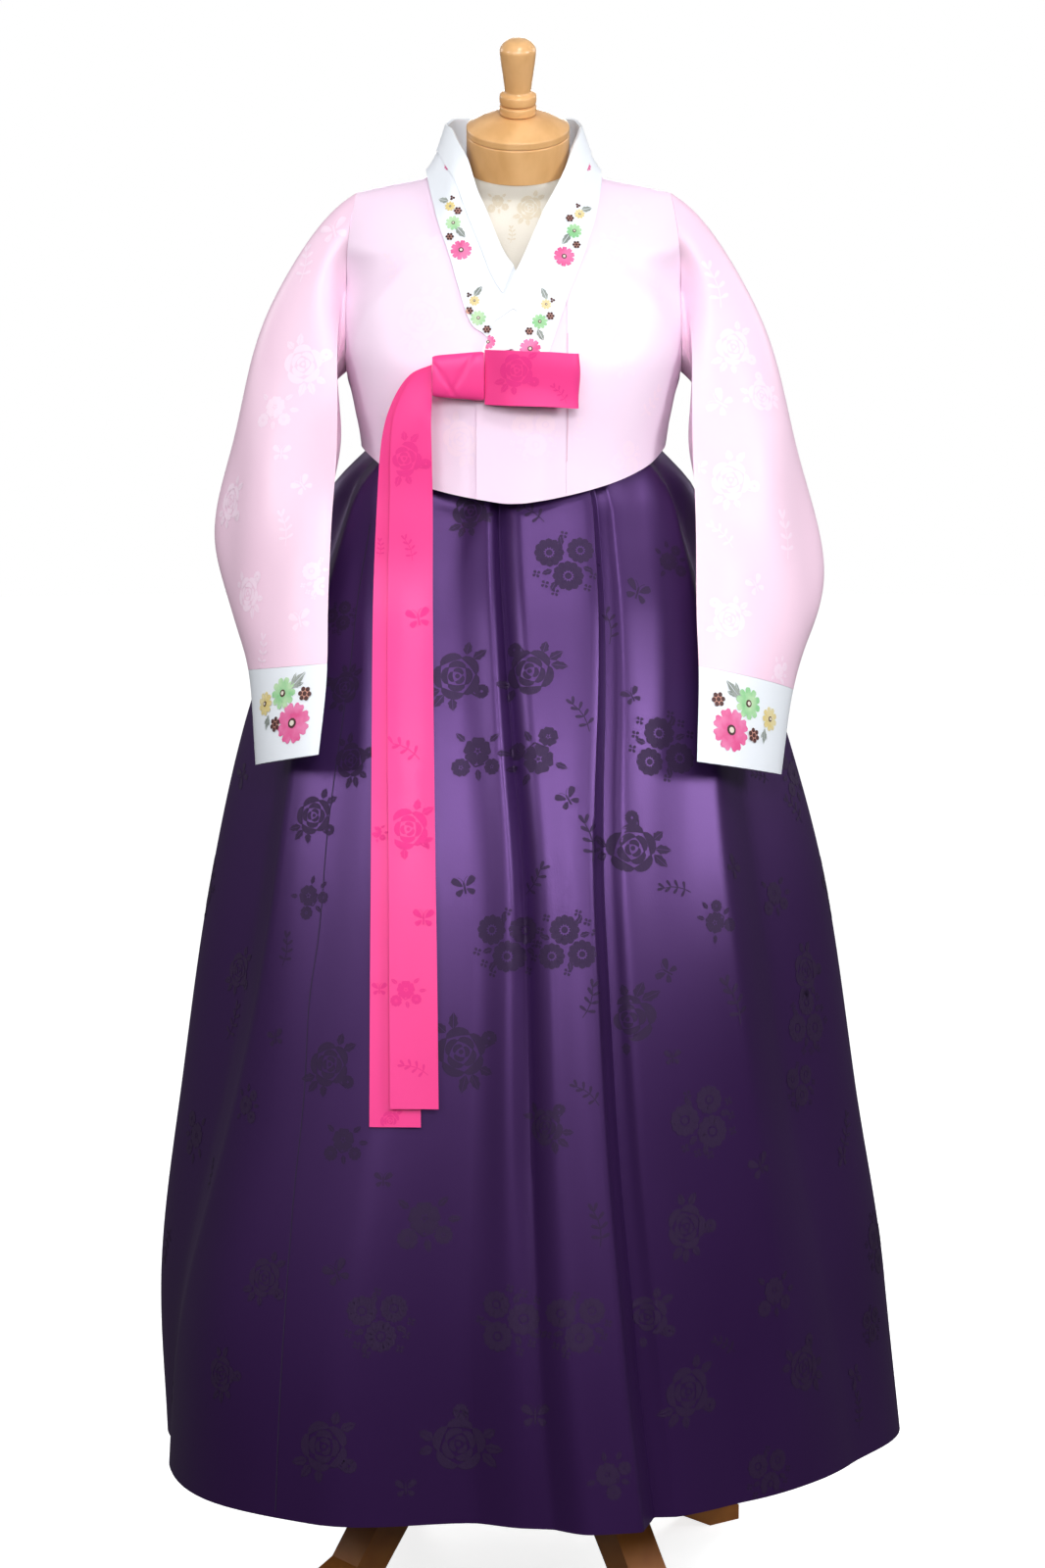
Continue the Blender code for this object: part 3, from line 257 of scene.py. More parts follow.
# Collar band: each row is where its neck edge and its body edge lie on the jacket
COLLAR_RAILS = (
    # neck edge from_middle, height;  body edge from_middle, height;  front 1, shoulder 0, back -1
    ((0.006, 1.486), (-0.020, 1.412), 1),
    ((-0.010, 1.516), (-0.046, 1.440), 1),
    ((-0.0250, 1.551), (-0.0600, 1.480), 1),
    ((-0.0380, 1.581), (-0.0720, 1.520), 1),
    ((-0.0490, 1.616), (-0.0850, 1.562), 1),
    ((-0.0625, 1.647), (-0.0910, 1.590), 1),
    ((-0.0675, 0.0), (-0.0930, 0.0), 0),
    ((-0.0540, 1.664), (-0.0750, 1.598), -1),
    ((-0.0280, 1.664), (-0.0390, 1.599), -1),
    ((0.000, 1.664), (0.000, 1.600), -1),
    ((0.0280, 1.664), (0.0390, 1.599), -1),
    ((0.0540, 1.664), (0.0750, 1.598), -1),
    ((0.0680, 0.0), (0.0930, 0.0), 0),
    ((0.0670, 1.646), (0.0960, 1.590), 1),
    ((0.0580, 1.614), (0.0900, 1.558), 1),
    ((0.0420, 1.578), (0.0800, 1.524), 1),
    ((0.0230, 1.538), (0.0660, 1.486), 1),
    ((0.0009, 1.492), (0.0520, 1.448), 1),
    ((-0.0203, 1.439), (0.0390, 1.410), 1),
    ((-0.0385, 1.394), (0.0260, 1.376), 1),
)
TRIM_SHARE = 0.40        # how much of the band's width the white strip covers, from the neck edge
TRIM_SPAN = (1 / 55, 52 / 55)   # where the strip starts and ends along the band
COLLAR_STAND = 0.0050    # how far the band stands off the shoulders and the back
COLLAR_STAND_REACH = 0.090

# Breast ribbon
KNOT = (-0.0800, -0.1605, 1.3840)
KNOT_SIZE = (0.0560, 0.0180, 0.0540)
RIBBON_CLOTH = 0.0016
LOOP_HEIGHT = 0.0590
LOOP_PATH = (
    # x, y, height of the middle
    (-0.0514, -0.1585, 1.3830),
    (-0.0200, -0.1590, 1.3820),
    (0.0150, -0.1585, 1.3800),
    (0.0420, -0.1570, 1.3790),
    (0.0495, -0.1630, 1.3790),
    (0.0440, -0.1700, 1.3790),
    (0.0180, -0.1760, 1.3810),
    (-0.0200, -0.1770, 1.3820),
    (-0.0508, -0.1645, 1.3830),
)
FRONT_TAIL = (
    # left x, y, z;  right x, y, z
    ((-0.1085, -0.1640, 1.3925), (-0.1085, -0.1640, 1.3580)),
    ((-0.1270, -0.1640, 1.3850), (-0.1095, -0.1640, 1.3420)),
    ((-0.1430, -0.1650, 1.3600), (-0.1095, -0.1650, 1.3260)),
    ((-0.1527, -0.1650, 1.3250), (-0.1090, -0.1650, 1.3030)),
    ((-0.1550, -0.1650, 1.2405), (-0.1080, -0.1650, 1.2405)),
    ((-0.1571, -0.1750, 1.1353), (-0.1080, -0.1780, 1.1353)),
    ((-0.1560, -0.2270, 0.9950), (-0.1060, -0.2300, 0.9950)),
    ((-0.1541, -0.2660, 0.8696), (-0.1038, -0.2690, 0.8696)),
    ((-0.1530, -0.2970, 0.7400), (-0.1015, -0.2990, 0.7400)),
    ((-0.1519, -0.3240, 0.6100), (-0.0999, -0.3250, 0.6100)),
)
BACK_TAIL = (
    ((-0.1085, -0.1585, 1.3965), (-0.1085, -0.1585, 1.3640)),
    ((-0.1330, -0.1585, 1.3850), (-0.1130, -0.1585, 1.3450)),
    ((-0.1520, -0.1590, 1.3560), (-0.1150, -0.1590, 1.3260)),
    ((-0.1635, -0.1590, 1.3142), (-0.1180, -0.1590, 1.3000)),
    ((-0.1690, -0.1590, 1.2402), (-0.1240, -0.1590, 1.2402)),
    ((-0.1731, -0.1690, 1.1353), (-0.1260, -0.1720, 1.1353)),
    ((-0.1732, -0.2200, 0.9950), (-0.1240, -0.2240, 0.9950)),
    ((-0.1732, -0.2590, 0.8688), (-0.1210, -0.2630, 0.8688)),
    ((-0.1737, -0.2900, 0.7400), (-0.1200, -0.2930, 0.7400)),
    ((-0.1740, -0.3210, 0.5898), (-0.1190, -0.3230, 0.5898)),
)

# Fineness of the shown cloth
BODY_FINE = 6            # rows and columns of a jacket panel for each of its main ones
SKIRT_COLUMNS = 10       # to each fold
SKIRT_ROWS = 96
SLEEVE_FINE = 4
SLEEVE_ROWS = 72
CUFF_ROWS = 12
COLLAR_ROWS = 221
COLLAR_COLUMNS = 13
TAIL_ROWS = 90
TAIL_COLUMNS = 9
TURN_STEPS = 96          # round a turned piece and the torso
LATHE_STEPS = 6          # between two points of a turned piece's profile
TORSO_ROWS = 97
KNOT_ROWS = 29
KNOT_COLUMNS = 72
BAND_ROWS = 15
BAND_COLUMNS = 240
BAND_PLEATS = 60
BAND_PLEAT_DEPTH = 0.0004
LINE_ROWS = 60
FLOOR_SIDES = 64
CLOTH_SHARP = 40.0       # an edge bent more than this, in degrees, shows sharp
SOLID_SHARP = 50.0
ROUND_OFF = 1e-9         # in comparing places along the collar
ROUNDING_PASSES = 14     # along a sleeve, to ease one station into the next
HEM_DRAPE = 0.0016       # soft waves of the jacket towards its hem
HEM_DRAPE_TOP = 1.430
SLEEVE_DRAPE = 0.0022
SKIRT_DRAPE = 0.0010

# Camera
VIEW_FROM = Vector((-0.0105, -4.5, 1.5))
VIEW_DOWN = math.radians(7.37)
VIEW_FOCUS = 4069.0      # focal length in picture units
VIEW_CENTRE = (533.0, 800.0)
VIEW_HEIGHT = 1600.0
SENSOR = 36.0

# Woven motifs on the shown side: kind, place across and down the view, half size in mm, turn in degrees
SKIRT_MOTIFS = (
    ("mums", 577, 575, 38, 0), ("rose", 480, 522, 26, 20), ("sprig", 541, 522, 20, 60),
    ("butterfly", 650, 605, 18, -30), ("sprig", 622, 640, 20, 10), ("blossoms", 684, 573, 22, 90),
    ("rose", 466, 690, 35, 0), ("rose", 541, 685, 34, 160), ("rose", 352, 702, 24, 200),
    ("mums", 347, 630, 20, 30), ("sprig", 594, 730, 20, 30), ("butterfly", 645, 711, 13, 20),
    ("mums", 676, 762, 40, 180), ("blossoms", 487, 770, 32, 0), ("blossoms", 548, 771, 34, 200),
    ("rose", 358, 776, 26, 60), ("butterfly", 733, 742, 14, 0), ("sprig", 776, 792, 14, 70),
    ("rose", 320, 832, 28, 0), ("butterfly", 580, 816, 15, 30), ("sprig", 603, 857, 24, 10),
    ("rose", 646, 866, 36, 120), ("sprig", 811, 826, 20, 40), ("butterfly", 748, 886, 16, -50),
    ("butterfly", 474, 906, 16, 10), ("sprig", 545, 900, 20, -30), ("blossoms", 316, 916, 24, 40),
    ("sprig", 292, 970, 18, 0), ("sprig", 690, 906, 18, 80), ("blossoms", 790, 914, 26, 0),
    ("blossoms", 731, 940, 24, 120), ("mums", 516, 962, 38, 0), ("mums", 578, 962, 36, 180),
    ("rose", 822, 990, 28, 30), ("sprig", 750, 1022, 26, 20), ("rose", 244, 990, 26, 0),
    ("butterfly", 681, 992, 15, 60), ("rose", 641, 1040, 34, 200), ("rose", 470, 1074, 36, 60),
    ("sprig", 602, 1022, 20, -20), ("butterfly", 686, 1080, 12, 0), ("sprig", 600, 1116, 18, 50),
    ("rose", 336, 1086, 32, 0), ("butterfly", 281, 1060, 13, 20), ("mums", 816, 1108, 28, 0),
    ("blossoms", 252, 1128, 22, 90), ("mums", 718, 1144, 40, 30), ("blossoms", 350, 1166, 26, 0),
    ("rose", 556, 1150, 26, 90), ("butterfly", 776, 1191, 18, 20), ("butterfly", 860, 1180, 14, 80),
    ("blossoms", 433, 1247, 36, 0), ("sprig", 611, 1252, 22, 10), ("rose", 700, 1252, 32, 30),
    ("butterfly", 391, 1205, 12, 0), ("butterfly", 344, 1300, 18, 30), ("rose", 270, 1304, 28, 0),
    ("sprig", 215, 1200, 18, 20), ("mums", 386, 1350, 38, 0), ("mums", 520, 1348, 38, 90),
    ("mums", 589, 1352, 36, 0), ("rose", 660, 1344, 30, 0), ("blossoms", 790, 1320, 30, 0),
    ("sprig", 740, 1372, 16, 60), ("mums", 889, 1352, 24, 0), ("rose", 820, 1396, 34, 100),
    ("rose", 702, 1420, 36, 0), ("rose", 226, 1402, 26, 40), ("rose", 330, 1476, 36, 0),
    ("rose", 468, 1474, 38, 120), ("butterfly", 546, 1446, 18, 0), ("mums", 784, 1504, 32, 0),
    ("butterfly", 414, 1520, 14, 0), ("sprig", 876, 1440, 20, 0), ("blossoms", 622, 1506, 26, 60),
)
JACKET_MOTIFS = (
    ("rose", 430, 324, 34, 20), ("blossoms", 430, 251, 24, 0), ("butterfly", 638, 376, 18, 10),
    ("mums", 545, 444, 28, 0), ("sprig", 592, 442, 14, 0), ("sprig", 664, 412, 20, -40),
    ("rose", 622, 262, 28, 200), ("blossoms", 640, 216, 20, 60), ("rose", 618, 330, 24, 90),
    ("sprig", 402, 274, 18, 30), ("blossoms", 404, 432, 22, 150), ("rose", 470, 448, 26, 60),
    ("mums", 640, 470, 22, 40), ("sprig", 672, 300, 20, 10),
)
SLEEVE_MOTIFS = {
    "sleeve_right": (
        ("butterfly", 341, 236, 20, 30), ("sprig", 311, 270, 22, 10), ("rose", 309, 372, 30, 60),
        ("blossoms", 280, 418, 26, 0), ("butterfly", 287, 463, 13, 0), ("butterfly", 309, 496, 14, 40),
        ("rose", 236, 512, 28, 0), ("sprig", 291, 540, 20, 20), ("mums", 328, 590, 24, 0),
        ("rose", 253, 606, 26, 90), ("butterfly", 306, 634, 16, 20), ("sprig", 268, 666, 18, 0),
    ),
    "sleeve_left": (
        ("sprig", 731, 292, 26, 10), ("rose", 748, 354, 28, 0), ("rose", 777, 404, 24, 120),
        ("butterfly", 736, 412, 18, 60), ("rose", 745, 490, 30, 20), ("butterfly", 713, 478, 12, 0),
        ("sprig", 802, 548, 26, 0), ("butterfly", 771, 598, 15, 20), ("rose", 744, 632, 26, 160),
        ("blossoms", 795, 686, 18, 60), ("sprig", 738, 546, 18, 40),
    ),
}
RIBBON_MOTIFS = {
    "ribbon_loop": (("rose", 527, 378, 24, 0), ("sprig", 572, 402, 12, 40)),
    "ribbon_tail_front": (
        ("rose", 412, 468, 26, 20), ("butterfly", 427, 632, 16, 10), ("sprig", 414, 764, 20, 60),
        ("rose", 416, 846, 30, 0), ("butterfly", 432, 938, 14, 0), ("blossoms", 414, 1012, 20, 0),
        ("sprig", 418, 560, 14, 20), ("sprig", 424, 1090, 16, 70),
    ),
    "ribbon_tail_back": (("sprig", 388, 560, 10, 0), ("blossoms", 384, 850, 12, 0),
                         ("butterfly", 387, 1010, 10, 0), ("rose", 398, 1144, 14, 0)),
}
TORSO_MOTIFS = (("blossoms", 508, 206, 14, 0), ("rose", 540, 212, 18, 0), ("sprig", 522, 240, 10, 0))
REPEAT_KINDS = ("rose", "butterfly", "mums", "sprig", "blossoms")
REPEAT_SIZES = {"rose": 34, "butterfly": 17, "mums": 37, "sprig": 22, "blossoms": 30}
REPEAT_STEP = 0.135      # between the motifs on the sides and the back
SHOWN_SIDE = 66.0        # degrees either way from the front where the skirt's own list is used

# Embroidery: kind, place across and down the view, half size in mm, turn in degrees
COLLAR_STITCHES = (
    ("leaf", 452.4, 204.4, 8, 170), ("berries3", 461.4, 202.0, 4, 0), ("yellow", 459.2, 210.6, 6, 0),
    ("berries7", 467.2, 215.4, 5, 0), ("mint", 462.4, 227.6, 9, 0), ("leaf", 470.0, 237.0, 9, -50),
    ("berries7", 458.8, 241.8, 5, 0), ("pink10", 470.4, 255.2, 13, 0), ("pink10", 459.0, 166.0, 10, 0),
    ("leaf", 487.8, 297.2, 8, 55), ("berries3", 478.4, 301.0, 4, 0), ("yellow", 484.0, 307.0, 6, 0),
    ("berries7", 478.6, 317.4, 5, 0), ("mint", 488.0, 324.6, 9, 0), ("leaf", 487.4, 337.0, 8, -100),
    ("berries7", 496.8, 336.2, 5, 0), ("leaf", 598.4, 213.4, 8, 10), ("berries3", 589.4, 210.0, 4, 0),
    ("yellow", 591.2, 218.4, 6, 0), ("berries7", 581.2, 223.0, 5, 0), ("mint", 585.8, 235.8, 9, 0),
    ("leaf", 577.4, 244.0, 9, 235), ("berries7", 588.0, 250.0, 5, 0), ("pink10", 575.4, 261.8, 13, 0),
    ("pink10", 597.0, 167.0, 10, 0), ("leaf", 555.2, 299.6, 8, 110), ("berries3", 563.4, 306.4, 4, 0),
    ("yellow", 557.0, 310.6, 6, 0), ("berries7", 561.2, 322.6, 5, 0), ("mint", 550.6, 328.2, 9, 0),
    ("leaf", 551.4, 342.0, 8, -65), ("berries7", 540.0, 338.2, 5, 0), ("pink10", 540.8, 356.0, 13, 0),
    ("pink10", 498.0, 349.0, 9, 0),
)
CUFF_STITCHES = {
    "cuff_right": (
        ("bigleaf", 303.5, 694.5, 15, 50), ("mint", 288.8, 707.5, 19, 0), ("berries7", 311.3, 708.0, 9, 0),
        ("yellow", 270.8, 718.3, 14, 0), ("bigleaf", 272.8, 737.5, 10, -95),
        ("berries7", 281.2, 739.2, 9, 30), ("pink8", 298.3, 738.0, 26, 20),
    ),
    "cuff_left": (
        ("berries7", 732.5, 713.7, 9, 0), ("bigleaf", 748.3, 704.0, 15, 125), ("mint", 763.3, 718.0, 19, 0),
        ("yellow", 785.0, 733.8, 14, 0), ("berries7", 768.3, 750.5, 9, 30),
        ("bigleaf", 779.0, 751.5, 10, 250), ("pink8", 745.8, 745.0, 27, 0),
    ),
}

# Sewn lines on the shown side: places across and down the view
SEAM_LINES = (
    ("chima_skirt", "purple_line", ((378, 535), (364, 619), (357, 683), (334, 851), (326, 948), (315, 1028),
                                    (311, 1108), (299, 1230), (286, 1419), (281, 1542))),
    ("jeogori_front_left", "pink_line", ((579, 340), (579, 420), (577, 500))),
)
LINE_WIDTH = 0.0011
MOTIF_LIFT = 0.00035
STITCH_LIFT = 0.0006
LAYER_RISE = 0.6         # how much further each layer of stitches stands off, in shares of the first
DROP_START = 0.03        # how far off the cloth an outline is dropped from
DROP_REACH = 0.075       # and how far it may fall
LEAST_FACING = 0.35      # cloth turned further away than this takes no outline

# Skirt's colour, floor, room and lights
PURPLE = ((0.0175, 0.0045, 0.036), (0.0225, 0.0062, 0.046))
FLOOR_REACH = 14.0
ROOM_LIGHT = 0.34
ROOM_LOW = (0.02, 0.22)      # how far up, and how bright from there down
ROOM_HIGH = (0.45, 1.0)
LIGHTS = (
    # name, place, aim, size, power, spread in degrees
    ("front left", (-1.5, -4.3, 2.4), (-0.05, 0.0, 1.30), 1.5, 9.0, 85.0),
    ("front right", (1.4, -4.3, 2.4), (0.05, 0.0, 1.30), 1.5, 8.5, 85.0),
    ("front middle", (0.25, -4.2, 2.95), (0.0, 0.0, 1.15), 0.85, 8.0, 75.0),
    ("side left", (-3.8, -2.3, 2.75), (0.0, 0.0, 1.05), 1.2, 7.5, 70.0),
    ("side right", (3.8, -2.3, 2.70), (0.0, 0.0, 1.0), 1.2, 13.0, 70.0),
    ("above", (0.5, -3.0, 4.3), (0.0, -0.1, 1.15), 0.9, 4.0, 60.0),
    ("left rim", (-2.8, 1.8, 2.6), (0.0, 0.0, 1.1), 1.2, 7.0, 120.0),
    ("right rim", (2.8, 1.8, 2.6), (0.0, 0.0, 1.1), 1.2, 7.0, 120.0),
    ("behind", (0.0, 4.2, 2.4), (0.0, 0.0, 1.2), 1.5, 11.0, 80.0),
)

# Legs
LEGS = 4
LEG_EDGE = 0.004         # width of their rounded edges
LEG_EDGE_STEPS = 3

WEAVE_GRAIN = (900.0, 900.0, 260.0, 3.0, 3.0, 2.0)
STITCH_GRAIN = (1500.0, 1500.0, 500.0, 60.0, 60.0, 60.0)
MATERIALS = (
    # name, first and second colour, roughness, grain, height of the relief, further sockets
    ("purple_satin", PURPLE[0], PURPLE[1], (0.31, 0.44), WEAVE_GRAIN, 0.00010,
     {"Specular IOR Level": 1.0, "Specular Tint": (0.62, 0.33, 1.0, 1.0), "Anisotropic": 0.45}),
    ("purple_weave", (0.018, 0.0080, 0.030), (0.023, 0.010, 0.037), (0.46, 0.60), WEAVE_GRAIN, 0.00016,
     {"Specular IOR Level": 0.42, "Specular Tint": (0.72, 0.52, 1.0, 1.0)}),
    ("purple_line", (0.014, 0.006, 0.030), (0.020, 0.008, 0.040), (0.6, 0.8), STITCH_GRAIN, 0.0001, {}),
    ("pink_satin", (0.90, 0.61, 0.77), (0.93, 0.67, 0.83), (0.34, 0.50), WEAVE_GRAIN, 0.00008,
     {"Sheen Weight": 0.10, "Sheen Roughness": 0.35, "Sheen Tint": (1.0, 0.85, 0.92, 1.0),
      "Anisotropic": 0.4}),
    # The jacket body's copy of the sleeves' pink, made paler: painted highlight standing in for the strong
    # light on the chest. It also covers the back panel.
    ("pink_body", (0.90, 0.69, 0.86), (0.93, 0.75, 0.91), (0.34, 0.50), WEAVE_GRAIN, 0.00008,
     {"Sheen Weight": 0.10, "Sheen Roughness": 0.35, "Anisotropic": 0.4}),
    ("pink_weave", (0.94, 0.72, 0.86), (0.96, 0.76, 0.90), (0.42, 0.58), WEAVE_GRAIN, 0.00016,
     {"Sheen Weight": 0.15, "Sheen Roughness": 0.4, "Sheen Tint": (1.0, 0.95, 1.0, 1.0)}),
    ("pink_line", (0.74, 0.46, 0.60), (0.78, 0.50, 0.64), (0.6, 0.8), STITCH_GRAIN, 0.0001, {}),
    ("magenta_satin", (0.86, 0.048, 0.25), (0.90, 0.062, 0.29), (0.32, 0.46), WEAVE_GRAIN, 0.00008,
     {"Specular IOR Level": 0.6, "Specular Tint": (1.0, 0.45, 0.72, 1.0),
      "Anisotropic": 0.4}),
    ("magenta_weave", (0.78, 0.034, 0.23), (0.82, 0.042, 0.26), (0.50, 0.70), WEAVE_GRAIN, 0.00016,
     {"Specular IOR Level": 0.3, "Specular Tint": (1.0, 0.5, 0.75, 1.0)}),
    ("white_satin", (0.80, 0.84, 0.90), (0.83, 0.87, 0.93), (0.38, 0.52), WEAVE_GRAIN, 0.00008,
     {"Sheen Weight": 0.08, "Sheen Roughness": 0.4}),
    ("trim_white", (0.82, 0.86, 0.91), (0.85, 0.89, 0.94), (0.55, 0.70), WEAVE_GRAIN, 0.00012, {}),
    ("torso_cloth", (0.88, 0.82, 0.72), (0.92, 0.87, 0.78), (0.75, 0.90),
     (700.0, 700.0, 700.0, 14.0, 14.0, 14.0), 0.0003, {"Sheen Weight": 0.3}),
    ("torso_weave", (0.80, 0.70, 0.54), (0.84, 0.75, 0.60), (0.60, 0.80), WEAVE_GRAIN, 0.0002, {}),
    ("neck_wood", (0.82, 0.48, 0.21), (0.70, 0.38, 0.145), (0.26, 0.38),
     (260.0, 260.0, 30.0, 34.0, 34.0, 8.0), 0.00010, {"Coat Weight": 0.35, "Coat Roughness": 0.15}),
    ("leg_wood", (0.46, 0.17, 0.035), (0.36, 0.12, 0.025), (0.30, 0.44),
     (200.0, 30.0, 200.0, 26.0, 6.0, 26.0), 0.00012, {"Coat Weight": 0.4, "Coat Roughness": 0.15}),
    ("thread_pink", (0.72, 0.07, 0.26), (0.78, 0.20, 0.42), (0.40, 0.60), STITCH_GRAIN, 0.0004, {}),
    ("thread_mint", (0.24, 0.58, 0.26), (0.50, 0.72, 0.44), (0.40, 0.60), STITCH_GRAIN, 0.0004, {}),
    ("thread_yellow", (0.72, 0.58, 0.22), (0.76, 0.68, 0.40), (0.40, 0.60), STITCH_GRAIN, 0.0004, {}),
    ("thread_grey", (0.20, 0.23, 0.21), (0.38, 0.42, 0.39), (0.40, 0.60), STITCH_GRAIN, 0.0004, {}),
    ("thread_brown", (0.055, 0.014, 0.014), (0.09, 0.022, 0.022), (0.45, 0.65), STITCH_GRAIN, 0.0004, {}),
    ("thread_peach", (0.70, 0.32, 0.24), (0.76, 0.42, 0.33), (0.45, 0.65), STITCH_GRAIN, 0.0004, {}),
    ("thread_cream", (0.72, 0.66, 0.56), (0.78, 0.74, 0.66), (0.45, 0.65), STITCH_GRAIN, 0.0004, {}),
    ("floor", (0.86, 0.86, 0.87), (0.88, 0.88, 0.89), (0.55, 0.75),
     (40.0, 40.0, 40.0, 0.6, 0.6, 0.6), 0.0002,
     {"Emission Color": (1.0, 1.0, 1.0, 1.0), "Emission Strength": 0.80}),
)


def smooth(stations, values, where):
    """Read a smooth curve through the values, which never swings past them."""
    stations = np.asarray(stations, float)
    values = np.asarray(values, float)
    if stations[0] > stations[-1]:
        stations, values = stations[::-1], values[::-1]
    steps = np.diff(stations)
    slopes = np.diff(values) / steps
    tangents = np.concatenate(([slopes[0]], np.zeros(len(slopes) - 1), [slopes[-1]]))
    product = slopes[:-1] * slopes[1:]
    rising = product > 0
    tangents[1:-1][rising] = 2 * product[rising] / (slopes[:-1] + slopes[1:])[rising]
    where = np.clip(np.asarray(where, float), stations[0], stations[-1])
    cell = np.clip(np.searchsorted(stations, where, side="right") - 1, 0, len(steps) - 1)
    width = steps[cell]
    t = (where - stations[cell]) / width
    return (values[cell] * (2 * t**3 - 3 * t**2 + 1)
            + tangents[cell] * width * (t**3 - 2 * t**2 + t)
            + values[cell + 1] * (3 * t**2 - 2 * t**3)
            + tangents[cell + 1] * width * (t**3 - t**2))


def column(table, at, index, where):
    """Read one column of a table at the given values of another."""
    return smooth([row[at] for row in table], [row[index] for row in table], where)


def smooth_points(stations, points, where):
    points = np.asarray(points, float)
    return np.stack([smooth(stations, points[:, axis], where) for axis in range(3)], axis=-1)


def unit(vectors):
    return vectors / np.maximum(np.linalg.norm(vectors, axis=-1, keepdims=True), 1e-12)


def grid_normals(points, closed=False):
    """Unit normals of a grid of points, rows by columns; closed grids wrap round in columns."""
    if closed:
        across = np.roll(points, -1, axis=1) - np.roll(points, 1, axis=1)
    else:
        across = np.gradient(points, axis=1)
    return unit(np.cross(across, np.gradient(points, axis=0)))


def stand_in(name, ending, points, faces, sharp, material, nodes):
    """A piece that takes the place of the named solids, its faces turned out and its soft edges smooth."""
    mesh = bpy.data.meshes.new(name)
    mesh.from_pydata(points.tolist(), [], faces)
    build = bmesh.new()
    build.from_mesh(mesh)
    bmesh.ops.recalc_face_normals(build, faces=build.faces)
    build.to_mesh(mesh)
    build.free()
    mesh.shade_smooth()
    mesh.set_sharp_from_angle(angle=math.radians(sharp))
    mesh.materials.append(material)
    thing = bpy.data.objects.new(name + ending, mesh)
    bpy.context.collection.objects.link(thing)
    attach(thing, "root")
    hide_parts(*nodes)
    return {name: thing}


def solid_of_rings(name, grid, material):
    """A closed solid through rings of points, with a face over each end."""
    at = np.arange(grid.shape[0] * grid.shape[1]).reshape(grid.shape[:2])
    beside = np.roll(at, -1, axis=1)
    quads = np.stack([at[:-1], at[1:], beside[1:], beside[:-1]], axis=-1).reshape(-1, 4)
    faces = quads.tolist() + [at[0].tolist(), at[-1].tolist()]
    return stand_in(name, "_shown", grid.reshape(-1, 3), faces, SOLID_SHARP, material, [name])


def wall(name, outer, inner, material, *nodes, closed=False):
    """A closed wall between two grids of points, which stands for the named solids."""
    rows, columns = outer.shape[:2]
    last = columns if closed else columns - 1
    at = np.arange(rows * columns).reshape(rows, columns)
    faces = []
    for r in range(rows - 1):
        for c in range(last):
            d = (c + 1) % columns
            quad = (at[r, c], at[r, d], at[r + 1, d], at[r + 1, c])
            faces.append(quad)
            faces.append(tuple(k + rows * columns for k in quad[::-1]))
    rims = []
    for r in (0, rows - 1):
        rims += [((at[r, c], at[r, (c + 1) % columns]), r == 0) for c in range(last)]
    if not closed:
        for c in (0, columns - 1):
            rims += [((at[r, c], at[r + 1, c]), c > 0) for r in range(rows - 1)]
    for (a, b), backwards in rims:
        rim = (a, b, b + rows * columns, a + rows * columns)
        faces.append(rim[::-1] if backwards else rim)
    points = np.concatenate([outer.reshape(-1, 3), inner.reshape(-1, 3)])
    faces = [[int(k) for k in face] for face in faces]
    return stand_in(name, "_cloth", points, faces, CLOTH_SHARP, material, nodes)


def curve_through(points, steps):
    """Points on a smooth curve through a row of points, with so many steps between each two."""
    padded = np.concatenate([2 * points[:1] - points[1:2], points, 2 * points[-1:] - points[-2:-1]])
    t = np.linspace(0.0, 1.0, steps, endpoint=False).reshape(-1, *([1] * (points.ndim - 1)))
    out = []
    for k in range(len(points) - 1):
        a, b, c, d = padded[k:k + 4]
        out.append(0.5 * (2 * b + (c - a) * t + (2 * a - 5 * b + 4 * c - d) * t**2
                          + (3 * b - a - 3 * c + d) * t**3))
    return np.concatenate(out + [points[-1:]])


def eased(grid, passes):
    """The grid with each inner row eased towards its neighbours."""
    for _ in range(passes):
        grid[1:-1] = grid[1:-1] / 2 + (grid[:-2] + grid[2:]) / 4
    return grid


def fine(count):
    return (count - 1) * BODY_FINE + 1


# Jacket body surface


def shoulder_height(across):
    return column(SHOULDER_LINE, 0, 1, np.abs(across))


def height_to_drop(across, height):
    """Distance down from the shoulder line, measured round its curve."""
    down = np.maximum(shoulder_height(across) - height, 0.0)
    turned = np.arccos(np.clip(1.0 - down / SHOULDER_ROUND, 0.0, 1.0)) * SHOULDER_ROUND
    straight = SHOULDER_ROUND * math.pi / 2 + down - SHOULDER_ROUND
    return np.where(down < SHOULDER_ROUND, turned, straight)


def overlap_lift(across):
    """The wearer's left front stands proud where it laps over the right one."""
    t = np.clip((OVERLAP_SEAM - across) / (OVERLAP_SEAM - UNDER_EDGE), 0.0, 1.0)
    return OVERLAP_LIFT * t * t * (3 - 2 * t)


